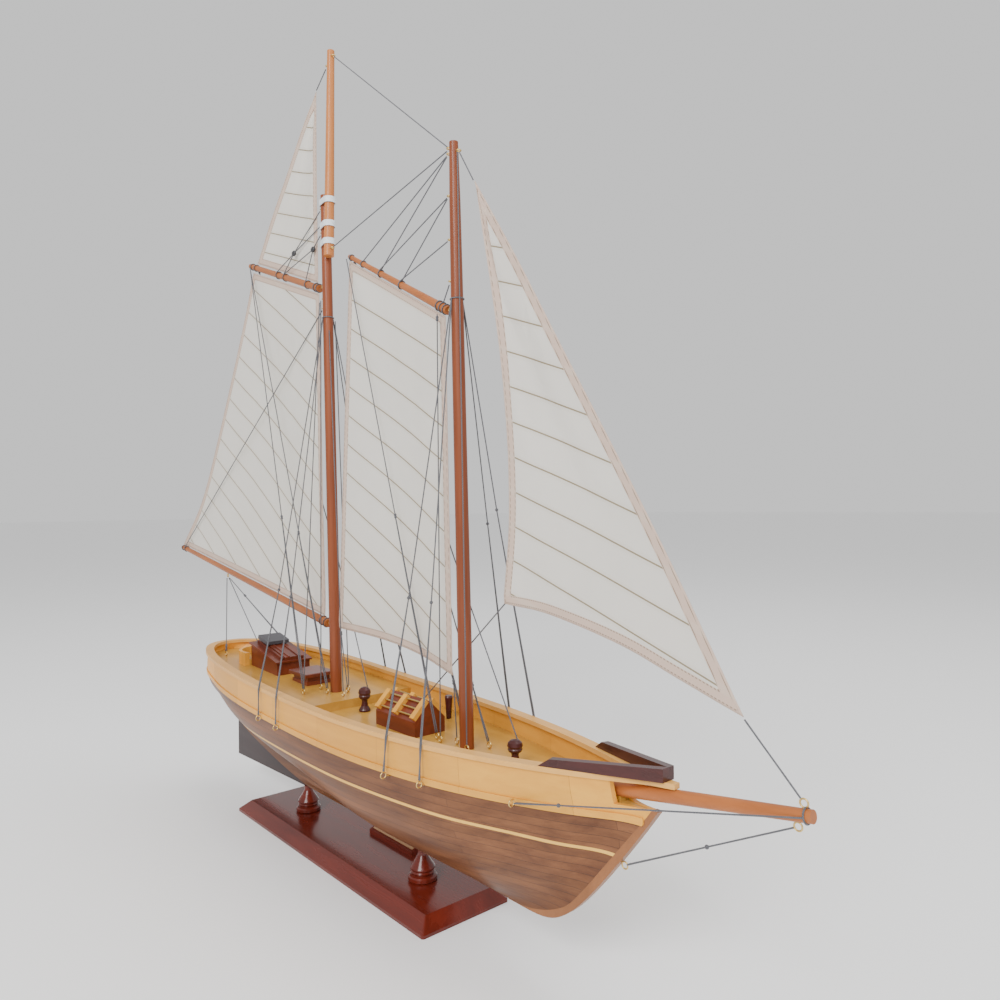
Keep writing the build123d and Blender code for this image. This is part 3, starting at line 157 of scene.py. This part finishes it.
def wood(name, light, dark, grain, rough=0.35, coat=0.3, planks=None, seam=(0.04, 0.02, 0.01)):
    """Varnished wood: fibres along the grain, broad figure, and planks where it has them.

    grain is the frequency of the fibres along X, Y and Z, per metre. planks is their (width, length).
    """
    made, nodes, links, shader = material(name)
    place, axes = place_split(nodes, links)
    stretch = node(nodes, "ShaderNodeMapping")
    stretch.inputs["Scale"].default_value = grain
    links.new(place, stretch.inputs["Vector"])
    fibres = node(
        nodes, "ShaderNodeTexNoise", Scale=1.0, Detail=9.0, Roughness=0.62, Distortion=0.35
    )
    links.new(stretch.outputs[0], fibres.inputs["Vector"])
    figure = node(
        nodes, "ShaderNodeTexNoise", Scale=0.16, Detail=3.0, Roughness=0.5, Distortion=1.2
    )
    links.new(stretch.outputs[0], figure.inputs["Vector"])
    pores = node(nodes, "ShaderNodeTexNoise", Scale=3.2, Detail=4.0, Roughness=0.7)
    links.new(stretch.outputs[0], pores.inputs["Vector"])
    ramp = node(nodes, "ShaderNodeValToRGB")
    ramp.color_ramp.elements[0].position = 0.33
    ramp.color_ramp.elements[0].color = (*dark, 1.0)
    ramp.color_ramp.elements[1].position = 0.68
    ramp.color_ramp.elements[1].color = (*light, 1.0)
    blend = maths(nodes, links, "MULTIPLY_ADD", figure.outputs[0], 0.45, maths(
        nodes, links, "MULTIPLY", fibres.outputs[0], 0.55))
    links.new(blend, ramp.inputs[0])
    tiny = maths(nodes, links, "GREATER_THAN", pores.outputs[0], 0.66)
    colour = mixed(nodes, links, maths(nodes, links, "MULTIPLY", tiny, 0.3), ramp.outputs[0], dark)
    height = maths(nodes, links, "MULTIPLY", fibres.outputs[0], 0.35)
    if planks:
        width, length = planks
        off_low = maths(nodes, links, "ABSOLUTE", maths(
            nodes, links, "SUBTRACT", axes[0], SHEER_LOW_X))
        rise = maths(nodes, links, "MULTIPLY", maths(
            nodes, links, "POWER", off_low, 2.0), SHEER_CURVE)
        row = maths(nodes, links, "SUBTRACT", axes[2], rise)
        bricks = node(nodes, "ShaderNodeTexBrick", offset=0.37, offset_frequency=2, squash=1.0)
        bricks.inputs["Scale"].default_value = 1.0
        bricks.inputs["Brick Width"].default_value = length
        bricks.inputs["Row Height"].default_value = width
        bricks.inputs["Mortar Size"].default_value = PLANK_SEAM
        bricks.inputs["Mortar Smooth"].default_value = 0.3
        bricks.inputs["Color1"].default_value = (0.84, 0.84, 0.84, 1.0)
        bricks.inputs["Color2"].default_value = (1.06, 1.06, 1.06, 1.0)
        bricks.inputs["Mortar"].default_value = (0.9, 0.9, 0.9, 1.0)
        links.new(joined(nodes, links, axes[0], row, 0.0), bricks.inputs["Vector"])
        colour = mixed(nodes, links, 1.0, colour, bricks.outputs["Color"], "MULTIPLY")
        line = bricks.outputs["Fac"]
        colour = mixed(nodes, links, maths(nodes, links, "MULTIPLY", line, 0.75), colour, seam)
        height = maths(nodes, links, "SUBTRACT", height, line)
    links.new(colour, shader.inputs["Base Color"])
    rough_here = maths(nodes, links, "MULTIPLY_ADD", fibres.outputs[0], 0.22, rough - 0.11)
    links.new(rough_here, shader.inputs["Roughness"])
    shader.inputs["Coat Weight"].default_value = coat
    shader.inputs["Specular IOR Level"].default_value = 0.22
    shader.inputs["Coat Roughness"].default_value = 0.12
    bumped(nodes, links, height, 0.5, 0.00025, shader)
    return made


def metal(name, colour, rough):
    """Handled metal, dulled in clouds."""
    made, nodes, links, shader = material(name)
    place, _ = place_split(nodes, links)
    cloud = node(nodes, "ShaderNodeTexNoise", Scale=420.0, Detail=5.0, Roughness=0.6)
    links.new(place, cloud.inputs["Vector"])
    dull = tuple(0.45 * c for c in colour)
    share = maths(nodes, links, "MULTIPLY", cloud.outputs[0], 0.6)
    links.new(mixed(nodes, links, share, colour, dull), shader.inputs["Base Color"])
    links.new(maths(nodes, links, "MULTIPLY_ADD", cloud.outputs[0], 0.3, rough - 0.1),
              shader.inputs["Roughness"])
    shader.inputs["Metallic"].default_value = 1.0
    bumped(nodes, links, cloud.outputs[0], 0.2, 0.0001, shader)
    return made


def thread(name, colour, light):
    """Twisted thread: fine slanting strands and a little fuzz in its colour."""
    made, nodes, links, shader = material(name)
    place, axes = place_split(nodes, links)
    slant = maths(nodes, links, "ADD", maths(nodes, links, "MULTIPLY", axes[2], 5200.0), maths(
        nodes, links, "MULTIPLY", maths(nodes, links, "ADD", axes[0], axes[1]), 5200.0))
    strands = maths(nodes, links, "SINE", slant)
    fuzz = node(nodes, "ShaderNodeTexNoise", Scale=1400.0, Detail=3.0)
    links.new(place, fuzz.inputs["Vector"])
    factor = maths(nodes, links, "MULTIPLY_ADD", strands, 0.3, maths(
        nodes, links, "MULTIPLY", fuzz.outputs[0], 0.7))
    links.new(mixed(nodes, links, factor, colour, light), shader.inputs["Base Color"])
    shader.inputs["Roughness"].default_value = 0.7
    shader.inputs["Sheen Weight"].default_value = 0.2
    bumped(nodes, links, strands, 0.6, 0.00008, shader)
    return made


def painted(name, colour, rough):
    """Dark paint, a little worn and uneven."""
    made, nodes, links, shader = material(name)
    place, _ = place_split(nodes, links)
    cloud = node(nodes, "ShaderNodeTexNoise", Scale=160.0, Detail=6.0, Roughness=0.6)
    links.new(place, cloud.inputs["Vector"])
    worn = tuple(min(1.0, 2.2 * c + 0.03) for c in colour)
    share = maths(nodes, links, "MULTIPLY", cloud.outputs[0], 0.55)
    links.new(mixed(nodes, links, share, colour, worn), shader.inputs["Base Color"])
    links.new(maths(nodes, links, "MULTIPLY_ADD", cloud.outputs[0], 0.3, rough - 0.12),
              shader.inputs["Roughness"])
    bumped(nodes, links, cloud.outputs[0], 0.3, 0.0003, shader)
    return made


def tape(name):
    """Woven silver-white tape of the topmast's lashings."""
    made, nodes, links, shader = material(name)
    place, axes = place_split(nodes, links)
    rows = maths(nodes, links, "SINE", maths(nodes, links, "MULTIPLY", axes[2], 7000.0))
    cloud = node(nodes, "ShaderNodeTexNoise", Scale=500.0, Detail=4.0)
    links.new(place, cloud.inputs["Vector"])
    links.new(mixed(nodes, links, cloud.outputs[0], (0.82, 0.85, 0.87), (0.55, 0.6, 0.63)),
              shader.inputs["Base Color"])
    shader.inputs["Roughness"].default_value = 0.5
    bumped(nodes, links, rows, 0.4, 0.0001, shader)
    return made


def sailcloth(name, slope, spacing, phase):
    """Sewn sail: plain weave, cloths joined by stitched seams, and a doubled, stitched hem.

    The seams run at slope degrees above the level in the XZ plane, spacing apart.
    """
    made, nodes, links, shader = material(name)
    place, axes = place_split(nodes, links)
    rise, run = math.sin(math.radians(slope)), math.cos(math.radians(slope))
    across = maths(
        nodes, links, "ADD",
        maths(nodes, links, "MULTIPLY", axes[0], -rise), maths(nodes, links, "MULTIPLY", axes[2], run),
    )
    along = maths(
        nodes, links, "ADD",
        maths(nodes, links, "MULTIPLY", axes[0], run), maths(nodes, links, "MULTIPLY", axes[2], rise),
    )
    shifted = maths(nodes, links, "ADD", across, phase)
    within = maths(nodes, links, "FLOORED_MODULO", shifted, spacing)
    off_seam = maths(nodes, links, "ABSOLUTE", maths(nodes, links, "SUBTRACT", within, spacing / 2))
    seam_line = maths(nodes, links, "LESS_THAN", off_seam, 0.45 * MM)
    lap = maths(nodes, links, "LESS_THAN", off_seam, 2.2 * MM)
    edge = node(nodes, "ShaderNodeAttribute", attribute_name="edge")
    off_edge = edge.outputs["Fac"]
    hem = maths(nodes, links, "LESS_THAN", off_edge, HEM_WIDTH)
    first = maths(nodes, links, "COMPARE", off_edge, 1.3 * MM, 0.28 * MM)
    second = maths(nodes, links, "COMPARE", off_edge, 5.6 * MM, 0.32 * MM)
    stitches = maths(nodes, links, "GREATER_THAN", maths(nodes, links, "SINE", maths(
        nodes, links, "MULTIPLY", maths(nodes, links, "ADD", along, across), 2600.0)), -0.35)
    rows = maths(nodes, links, "MAXIMUM", first, second)
    hem_stitch = maths(nodes, links, "MULTIPLY", rows, stitches)
    seam_stitch = maths(nodes, links, "MULTIPLY", seam_line, maths(
        nodes, links, "SUBTRACT", 1.0, hem))
    cloud = node(nodes, "ShaderNodeTexNoise", Scale=14.0, Detail=6.0, Roughness=0.6)
    links.new(place, cloud.inputs["Vector"])
    base = mixed(nodes, links, cloud.outputs[0], (0.86, 0.835, 0.785), (0.77, 0.74, 0.685))
    for mask, share, tint in (
        (hem, 0.9, (0.72, 0.56, 0.46)),
        (lap, 0.25, (0.76, 0.70, 0.60)),
        (hem_stitch, 0.7, (0.25, 0.15, 0.09)),
        (seam_stitch, 0.85, (0.25, 0.18, 0.075)),
    ):
        base = mixed(nodes, links, maths(nodes, links, "MULTIPLY", mask, share), base, tint)
    links.new(base, shader.inputs["Base Color"])
    shader.inputs["Roughness"].default_value = 0.85
    shader.inputs["Sheen Weight"].default_value = 0.15
    warp = maths(nodes, links, "SINE", maths(nodes, links, "MULTIPLY", axes[0], 9000.0))
    weft = maths(nodes, links, "SINE", maths(nodes, links, "MULTIPLY", axes[2], 9000.0))
    weave = maths(nodes, links, "MULTIPLY", warp, weft)
    folds = maths(nodes, links, "ADD", maths(nodes, links, "MULTIPLY", hem, 0.8), maths(
        nodes, links, "MULTIPLY", lap, 0.5))
    height = maths(nodes, links, "ADD", maths(nodes, links, "MULTIPLY", weave, 0.12), folds)
    normal = bumped(nodes, links, height, 0.5, 0.0003, shader)
    glow = node(nodes, "ShaderNodeBsdfTranslucent")
    links.new(base, glow.inputs["Color"])
    links.new(normal, glow.inputs["Normal"])
    both = node(nodes, "ShaderNodeMixShader")
    both.inputs[0].default_value = 0.4
    links.new(shader.outputs[0], both.inputs[1])
    links.new(glow.outputs[0], both.inputs[2])
    output = next(n for n in nodes if n.type == "OUTPUT_MATERIAL")
    links.new(both.outputs[0], output.inputs["Surface"])
    return made


# ================= sails =================


def curve_at(points, t):
    """Point at t from 0 to 1 along a smooth curve through points (Catmull-Rom)."""
    count = len(points) - 1
    if count == 0:
        return Vector(points[0])
    if count == 1:
        return Vector(points[0]).lerp(Vector(points[1]), t)
    i = min(int(t * count), count - 1)
    s = t * count - i
    p1, p2 = Vector(points[i]), Vector(points[i + 1])
    p0 = Vector(points[i - 1]) if i > 0 else 2 * p1 - p2
    p3 = Vector(points[i + 2]) if i + 2 <= count else 2 * p2 - p1
    return 0.5 * (
        2 * p1 + (p2 - p0) * s + (2 * p0 - 5 * p1 + 4 * p2 - p3) * s**2
        + (3 * p1 - p0 - 3 * p2 + p3) * s**3
    )


def patch_point(foot, head, leech, luff, u, v):
    """Coons patch: u runs from leech to luff, v from foot to head."""
    low, high = curve_at(foot, u), curve_at(head, u)
    aft, fore = curve_at(leech, v), curve_at(luff, v)
    corners = (
        curve_at(foot, 0) * (1 - u) * (1 - v) + curve_at(foot, 1) * u * (1 - v)
        + curve_at(head, 0) * (1 - u) * v + curve_at(head, 1) * u * v
    )
    return low * (1 - v) + high * v + aft * (1 - u) + fore * u - corners


def edge_distance(point, outline):
    """Distance from a point to the nearest side of a closed outline."""
    best = 1.0
    for a, b in zip(outline, outline[1:] + outline[:1]):
        run = b - a
        if run.length < 1e-9:
            continue
        t = max(0.0, min(1.0, (point - a).dot(run) / run.length_squared))
        best = min(best, (point - a - run * t).length)
    return best


def sail_edges(plan):
    return plan["foot"], plan["head"], plan["leech"], plan["luff"]


def sail_mesh(plan):
    """Cloth grid in the sail's outline, with a slight belly to start from."""
    columns, rows = plan["grid"]
    verts, faces = [], []
    for j in range(rows + 1):
        for i in range(columns + 1):
            u, v = i / columns, j / rows
            x, z = patch_point(*sail_edges(plan), u, v) * MM
            full = math.sin(math.pi * u) * math.sin(math.pi * min(1.0, v * 0.9 + 0.05))
            verts.append((x, plan["belly"] * full, z))
    for j in range(rows):
        for i in range(columns):
            a = j * (columns + 1) + i
            faces.append((a, a + 1, a + columns + 2, a + columns + 1))
    mesh = bpy.data.meshes.new(plan["name"])
    mesh.from_pydata(verts, [], faces)
    return mesh


def pin_sail(sail, plan):
    """Holds the cloth at its corners and along its bent edges."""
    columns, rows = plan["grid"]
    pins = sail.vertex_groups.new(name="pins")
    for j in range(rows + 1):
        for i in range(columns + 1):
            edges_here = {"foot": j == 0, "head": j == rows, "luff": i == columns}
            corner = i in (0, columns) and j in (0, rows)
            if corner or any(edges_here[edge] for edge in plan["bent"]):
                pins.add([j * (columns + 1) + i], 1.0, "REPLACE")


def make_sail(plan):
    """Sewn sail, filled by a short cloth simulation and then given its thickness."""
    sail = bpy.data.objects.new(plan["name"], sail_mesh(plan))
    bpy.context.scene.collection.objects.link(sail)
    pin_sail(sail, plan)
    look = sailcloth(plan["look"], *plan["seams"])
    simulate(sail)
    finish_sail(sail, plan)
    sail.data.materials.clear()
    sail.data.materials.append(look)
    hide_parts(plan["node"])
    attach(sail, plan["body"])


def simulate(sail):
    """A light breeze fills the pinned sail for a few frames, and the result is applied."""
    scene = bpy.context.scene
    bpy.ops.object.effector_add(
        type="WIND", location=(0, -1.0, 0.3), rotation=(math.radians(-90), 0, 0)
    )
    breeze = bpy.context.object
    breeze.field.strength = BREEZE
    cloth = sail.modifiers.new("cloth", "CLOTH")
    settings = cloth.settings
    settings.quality = 5
    settings.mass = 0.02
    settings.tension_stiffness = 60
    settings.compression_stiffness = 60
    settings.shear_stiffness = 30
    settings.bending_stiffness = 0.4
    settings.air_damping = 4
    settings.vertex_group_mass = "pins"
    scene.frame_start, scene.frame_end = 1, SETTLE_FRAMES
    for step in range(1, SETTLE_FRAMES + 1):
        scene.frame_set(step)
    apply_modifiers(sail)
    bpy.data.objects.remove(breeze, do_unlink=True)
    scene.frame_set(1)


def sail_outline(plan):
    """Points round the sail's cut edge: foot and luff forward and up, head and leech back down."""
    shares = [t / CURVE_STEPS for t in range(CURVE_STEPS + 1)]
    foot, head, leech, luff = sail_edges(plan)
    outline = [curve_at(edge, t) * MM for edge in (foot, luff) for t in shares]
    return outline + [curve_at(edge, 1 - t) * MM for edge in (head, leech) for t in shares]


def finish_sail(sail, plan):
    """Finer mesh, distance to the cut edge for the hems, and the cloth's thickness."""
    outline = sail_outline(plan)
    smooth = sail.modifiers.new("smooth", "SUBSURF")
    smooth.subdivision_type = "SIMPLE"
    smooth.levels = smooth.render_levels = 2
    apply_modifiers(sail)
    edge = sail.data.attributes.new("edge", "FLOAT", "POINT")
    for i, vert in enumerate(sail.data.vertices):
        edge.data[i].value = edge_distance(Vector((vert.co.x, vert.co.z)), outline)
    weld = sail.modifiers.new("weld", "WELD")
    weld.merge_threshold = 0.00002
    skin = sail.modifiers.new("skin", "SOLIDIFY")
    skin.thickness = SAIL_THICKNESS
    skin.offset = 0.0
    apply_modifiers(sail)
    for face in sail.data.polygons:
        face.use_smooth = True


def apply_modifiers(piece):
    """Replaces a piece's mesh by the one that its modifiers make."""
    depsgraph = bpy.context.evaluated_depsgraph_get()
    made = bpy.data.meshes.new_from_object(piece.evaluated_get(depsgraph))
    piece.modifiers.clear()
    piece.data = made


# ================= threads that cross a joint =================

# By CAD node: the body at the upper ends, and for each line its name, its points from there down (mm),
# and how far down its two parts meet in a knot, or None for a single part.
LINES = {
    "main_guys": ("main_rig", [
        ("vang_starboard_low", [(-190.0, -4.6, 530.4), (-37.0, -27.0, 132.4)], 0.635),
        ("vang_starboard_high", [(-190.0, -4.6, 530.4), (-26.4, -10.4, 132.1)], 0.67),
        ("vang_port", [(-190.0, 4.6, 530.4), (-33.9, 5.9, 238.0), (15.6, 3.6, 138.0)], None),
        ("sheet_starboard", [(-265.0, -1.1, 210.3), (-225.4, -18.3, 138.0)], 0.93),
        ("sheet_port", [(-265.0, 1.1, 210.3), (-225.4, 18.3, 138.0)], 0.93),
        ("sheet_middle", [(-263.4, 1.4, 210.0), (-142.1, 23.6, 135.1)], 0.23),
    ]),
    "fore_guys": ("fore_rig", [
        ("fore_vang_starboard", [(0.5, -3.6, 493.5), (120.5, -3.3, 124.0)], 0.58),
        ("fore_vang_middle", [(0.5, 3.6, 493.5), (144.5, 5.6, 123.9)], 0.635),
        ("fore_vang_port", [(0.5, 3.6, 493.5), (162.2, 10.1, 123.9)], 0.9),
        ("fore_vang_bent", [(0.5, 3.6, 493.5), (148.4, 5.9, 218.0), (201.0, 3.2, 133.0)], None),
        ("fore_tack_line", [(136.6, 0.0, 165.2), (140.0, 0.0, 124.0)], None),
        ("fore_throat_line", [(127.6, -4.4, 423.0), (128.9, -6.1, 124.0)], None),
        ("fore_sheet", [(-22.6, 0.9, 181.0), (-18.5, 4.5, 131.8)], None),
    ]),
}
THREAD_RADIUS = 0.45 * MM
LEGS_APART = 0.7 * MM


def skin_run(path, radii, sides=10):
    """Vertices and faces of a closed tube along path, with a radius at each of its points."""
    verts, faces = [], []
    for i, place in enumerate(path):
        run = (path[min(i + 1, len(path) - 1)] - path[max(i - 1, 0)]).normalized()
        side = run.cross(Vector((0, 1, 0))).normalized()
        up = side.cross(run).normalized()
        for k in range(sides):
            turn = 2 * math.pi * k / sides
            verts.append(place + (side * math.cos(turn) + up * math.sin(turn)) * radii[i])
    for i in range(len(path) - 1):
        for k in range(sides):
            a, b = i * sides + k, i * sides + (k + 1) % sides
            faces.append((a, b, b + sides, a + sides))
    faces.append(tuple(range(sides))[::-1])
    faces.append(tuple(range(len(verts) - sides, len(verts))))
    return verts, faces


def spaced(points, step=6 * MM):
    """Points along a run of straight parts, at most step apart."""
    out = [points[0]]
    for a, b in zip(points, points[1:]):
        count = max(1, math.ceil((b - a).length / step))
        out += [a.lerp(b, (i + 1) / count) for i in range(count)]
    return out


def add_piece(name, tubes, look):
    """One mesh piece from several tubes."""
    verts, faces = [], []
    for more_verts, more_faces in tubes:
        base = len(verts)
        verts += more_verts
        faces += [tuple(base + i for i in face) for face in more_faces]
    mesh = bpy.data.meshes.new(name)
    mesh.from_pydata(verts, [], faces)
    piece = bpy.data.objects.new(name, mesh)
    bpy.context.scene.collection.objects.link(piece)
    mesh.materials.append(look)
    for face in mesh.polygons:
        face.use_smooth = True
    return piece


def knot_run(place, run):
    """Lumpy knot: a short tube that swells and narrows twice."""
    path = [place + run * t * MM for t in (-2.2, -1.6, -0.9, -0.2, 0.3, 0.9, 1.5, 2.1)]
    return skin_run(path, [r * MM for r in (0.3, 0.95, 1.2, 0.95, 0.9, 1.2, 0.95, 0.3)])


def make_line(name, points, knot_at, node_name, look):
    """Taut thread from a spar down to its eye, its end led back up beside it and knotted."""
    path = [Vector(p) * MM for p in points]
    run = (path[1] - path[0]).normalized()
    if knot_at is None:
        route = spaced(path)
        knots = [knot_run(path[0] + run * 3 * MM, run)]
    else:
        knot = path[0].lerp(path[-1], knot_at)
        side = run.cross(Vector((0, 0, 1))).normalized() * LEGS_APART
        route = spaced([path[0], knot, path[-1] - side])
        back = spaced([knot + side * 0.3, path[-1] + side])
        knots = [knot_run(knot, run), skin_run(back, [THREAD_RADIUS] * len(back))]
    piece = add_piece(name, [skin_run(route, [THREAD_RADIUS] * len(route))], look)
    extra = add_piece(name + "_knot", knots, look)
    for made in (piece, extra):
        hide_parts(node_name)
        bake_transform(made)


# ================= scene =================


def add_camera():
    """Camera off the starboard bow, a little rolled."""
    yaw, pitch, roll = CAMERA_YAW, CAMERA_PITCH, CAMERA_ROLL
    level = math.cos(pitch)
    ahead = Vector((-math.sin(yaw) * level, math.cos(yaw) * level, math.sin(pitch)))
    right = ahead.cross(Vector((0, 0, 1))).normalized()
    up = right.cross(ahead)
    right_rolled = right * math.cos(roll) + up * math.sin(roll)
    up_rolled = up * math.cos(roll) - right * math.sin(roll)
    turn = Matrix((right_rolled, up_rolled, -ahead)).transposed().to_4x4()
    lens = bpy.data.cameras.new("camera")
    lens.lens = CAMERA_LENS
    lens.sensor_width = 36.0
    lens.shift_x = -0.00146
    lens.shift_y = 0.00061
    lens.clip_start = 0.01
    lens.clip_end = 60.0
    camera = bpy.data.objects.new("camera", lens)
    camera.matrix_world = Matrix.Translation(CAMERA_PLACE) @ turn
    bpy.context.scene.collection.objects.link(camera)
    bpy.context.scene.camera = camera


def add_light(name, place, target, size, power, colour=(1, 1, 1)):
    light = bpy.data.lights.new(name, "AREA")
    light.shape = "DISK"
    light.size = size
    light.energy = power
    light.color = colour
    lamp = bpy.data.objects.new(name, light)
    lamp.location = place
    lamp.rotation_euler = (Vector(target) - Vector(place)).to_track_quat("-Z", "Y").to_euler()
    bpy.context.scene.collection.objects.link(lamp)


def add_stage():
    """Pale floor, even sky and three soft lamps."""
    bpy.ops.mesh.primitive_plane_add(size=40.0, location=(0, 0, -0.0002))
    floor = bpy.context.object
    floor.name = "floor"
    made, _, _, shader = material("floor_pale")
    shader.inputs["Base Color"].default_value = (0.93, 0.93, 0.93, 1.0)
    shader.inputs["Roughness"].default_value = 0.6
    floor.data.materials.append(made)
    world = bpy.data.worlds.new("world")
    world.use_nodes = True
    sky = next(n for n in world.node_tree.nodes if n.type == "BACKGROUND")
    sky.inputs[0].default_value = (1.0, 1.0, 1.0, 1.0)
    sky.inputs[1].default_value = 0.85
    bpy.context.scene.world = world
    add_light("key", (0.9, -1.9, 1.6), (0, 0, 0.25), 1.2, 52.0)
    add_light("fill", (1.6, -0.6, 1.1), (0, 0, 0.2), 1.4, 12.0)
    add_light("top", (0.1, 0.5, 1.9), (0, 0, 0.2), 1.3, 12.0)


add_camera()
add_stage()

# Each wood: name, light and dark colour, grain, roughness, coat, then planks and their seams' colour.
LOOKS = {
    "stand_wood": wood(
        "stand_mahogany", (0.17, 0.020, 0.009), (0.06, 0.008, 0.005), (8, 60, 60), 0.26, 0.35
    ),
    "plank_wood": wood(
        "hull_walnut", (0.26, 0.105, 0.042), (0.085, 0.030, 0.014), (12, 150, 150), 0.42, 0.08,
        (5.4 * MM, 290 * MM), (0.04, 0.02, 0.012),
    ),
    "bulwark_wood": wood(
        "bulwark_boxwood", (0.86, 0.43, 0.065), (0.70, 0.31, 0.04), (10, 120, 120), 0.42, 0.08,
        (200.0 * MM, 74 * MM), (0.42, 0.17, 0.03),
    ),
    "rail_wood": wood(
        "rail_pine", (0.76, 0.42, 0.12), (0.60, 0.30, 0.07), (10, 140, 140), 0.42, 0.08
    ),
    "deck_wood": wood(
        "deck_boxwood", (0.56, 0.30, 0.055), (0.42, 0.21, 0.035), (10, 130, 130), 0.36, 0.15
    ),
    "stripe_wood": wood(
        "waterline_boxwood", (0.88, 0.52, 0.11), (0.74, 0.40, 0.08), (16, 160, 160), 0.4, 0.08
    ),
    "stem_wood": wood(
        "stem_oak", (0.33, 0.135, 0.052), (0.20, 0.078, 0.03), (60, 160, 30), 0.42, 0.1
    ),
    "dark_wood": wood(
        "skeg_ebony", (0.060, 0.040, 0.040), (0.028, 0.018, 0.019), (16, 150, 150), 0.45, 0.05
    ),
    "mahogany_stain": wood(
        "rail_rosewood", (0.075, 0.016, 0.014), (0.030, 0.008, 0.007), (20, 150, 150), 0.3, 0.25
    ),
    "house_wood": wood(
        "house_mahogany", (0.20, 0.042, 0.018), (0.085, 0.018, 0.010), (22, 160, 160), 0.32, 0.2
    ),
    "mast_wood": wood(
        "mast_sapele", (0.27, 0.070, 0.024), (0.14, 0.034, 0.013), (260, 260, 9), 0.38, 0.12
    ),
    "topmast_wood": wood(
        "topmast_pine", (0.56, 0.21, 0.06), (0.40, 0.13, 0.034), (260, 260, 9), 0.38, 0.12
    ),
    "spar_wood": wood(
        "spar_cherry", (0.42, 0.135, 0.036), (0.26, 0.076, 0.021), (22, 220, 120), 0.38, 0.12
    ),
    "name_wood": wood(
        "plate_lime", (0.55, 0.34, 0.19), (0.42, 0.25, 0.13), (20, 200, 200), 0.4, 0.2
    ),
    "brass": metal("fitting_brass", (0.78, 0.55, 0.20), 0.3),
    "steel": metal("screw_steel", (0.55, 0.55, 0.56), 0.35),
    "thread": thread("thread_grey", (0.035, 0.035, 0.042), (0.16, 0.16, 0.175)),
    "block_paint": painted("block_black", (0.016, 0.016, 0.018), 0.35),
    "lid_paint": painted("lid_charcoal", (0.035, 0.033, 0.038), 0.42),
    "lashing_tape": tape("tape_white"),
}
SLOTS = {part["node"]: part["material_slot"] for part in frame["record"]["subparts"]}
for name, part in frame["nodes"].items():
    if SLOTS[name] in LOOKS:
        part.data.materials.clear()
        part.data.materials.append(LOOKS[SLOTS[name]])

# seams are (slope in degrees, spacing, shift); bent edges are laced to a spar or a stay.
GAFF_SLOPE = math.degrees(math.atan2(MAIN_PEAK[1] - MAIN_THROAT[1], MAIN_PEAK[0] - MAIN_THROAT[0]))
SAILS = (
    {
        "name": "mainsail_cloth", "node": "mainsail", "body": "main_rig",
        "foot": [MAIN_CLEW, MAIN_TACK],
        "head": [MAIN_PEAK, MAIN_THROAT],
        "leech": [MAIN_CLEW, (-338.7, 292.8), (-287.8, 362.4), (-221.0, 471.0), MAIN_PEAK],
        "luff": [MAIN_TACK, MAIN_THROAT],
        "look": "cloth_main", "seams": (-32.0, 24.5 * MM, 0.0),
        "belly": 4 * MM, "grid": (44, 40), "bent": ("head", "foot"),
        "flat": (0.3515, 0.3362), "area": 0.0700, "rests_on": ["main_gaff", "main_boom"],
    },
    {
        "name": "topsail_cloth", "node": "main_topsail", "body": "main_rig",
        "foot": [TOPSAIL_CLEW, TOPSAIL_TACK],
        "head": [TOPSAIL_HEAD],
        "leech": [TOPSAIL_CLEW, (-147.2, 568.6), (-114.9, 599.5), (-82.9, 632.6), TOPSAIL_HEAD],
        "luff": [TOPSAIL_TACK, TOPSAIL_HEAD],
        "look": "cloth_topsail", "seams": (GAFF_SLOPE - 180.0, 19.5 * MM, 0.006),
        "belly": 2 * MM, "grid": (24, 28), "bent": ("foot",),
        "flat": (0.1255, 0.1712), "area": 0.0108, "rests_on": ["main_topmast", "main_gaff"],
    },
    {
        "name": "foresail_cloth", "node": "foresail", "body": "fore_rig",
        "foot": [FORE_CLEW, (42.7, 180.9), (94.9, 175.7), FORE_TACK],
        "head": [FORE_PEAK, FORE_THROAT],
        "leech": [FORE_CLEW, FORE_PEAK],
        "luff": [FORE_TACK, FORE_THROAT],
        "look": "cloth_fore", "seams": (-28.0, 22.0 * MM, 0.0),
        "belly": 4 * MM, "grid": (30, 44), "bent": ("head",),
        "flat": (0.1590, 0.3262), "area": 0.0410, "rests_on": ["fore_gaff"],
    },
    {
        "name": "jib_cloth", "node": "jib", "body": "hull",
        "foot": [JIB_CLEW, (234.4, 219.0), (289.8, 207.7), (330.1, 194.7), JIB_TACK],
        "head": [JIB_HEAD],
        "leech": [JIB_CLEW, (197.5, 276.9), (195.5, 335.5), (187.5, 402.0), JIB_HEAD],
        "luff": [JIB_TACK, (314.4, 273.5), (246.2, 382.7), (208.6, 443.1), JIB_HEAD],
        "look": "cloth_jib", "seams": (-20.0, 21.0 * MM, 0.0),
        "belly": 4 * MM, "grid": (32, 40), "bent": ("luff",),
        "flat": (0.2008, 0.3244), "area": 0.0218, "rests_on": ["bow_lines"],
    },
)
for plan in SAILS:
    make_sail(plan)

for node_name, (upper_body, lines) in LINES.items():
    for name, points, knot_at in lines:
        make_line(name, points, knot_at, node_name, LOOKS["thread"])
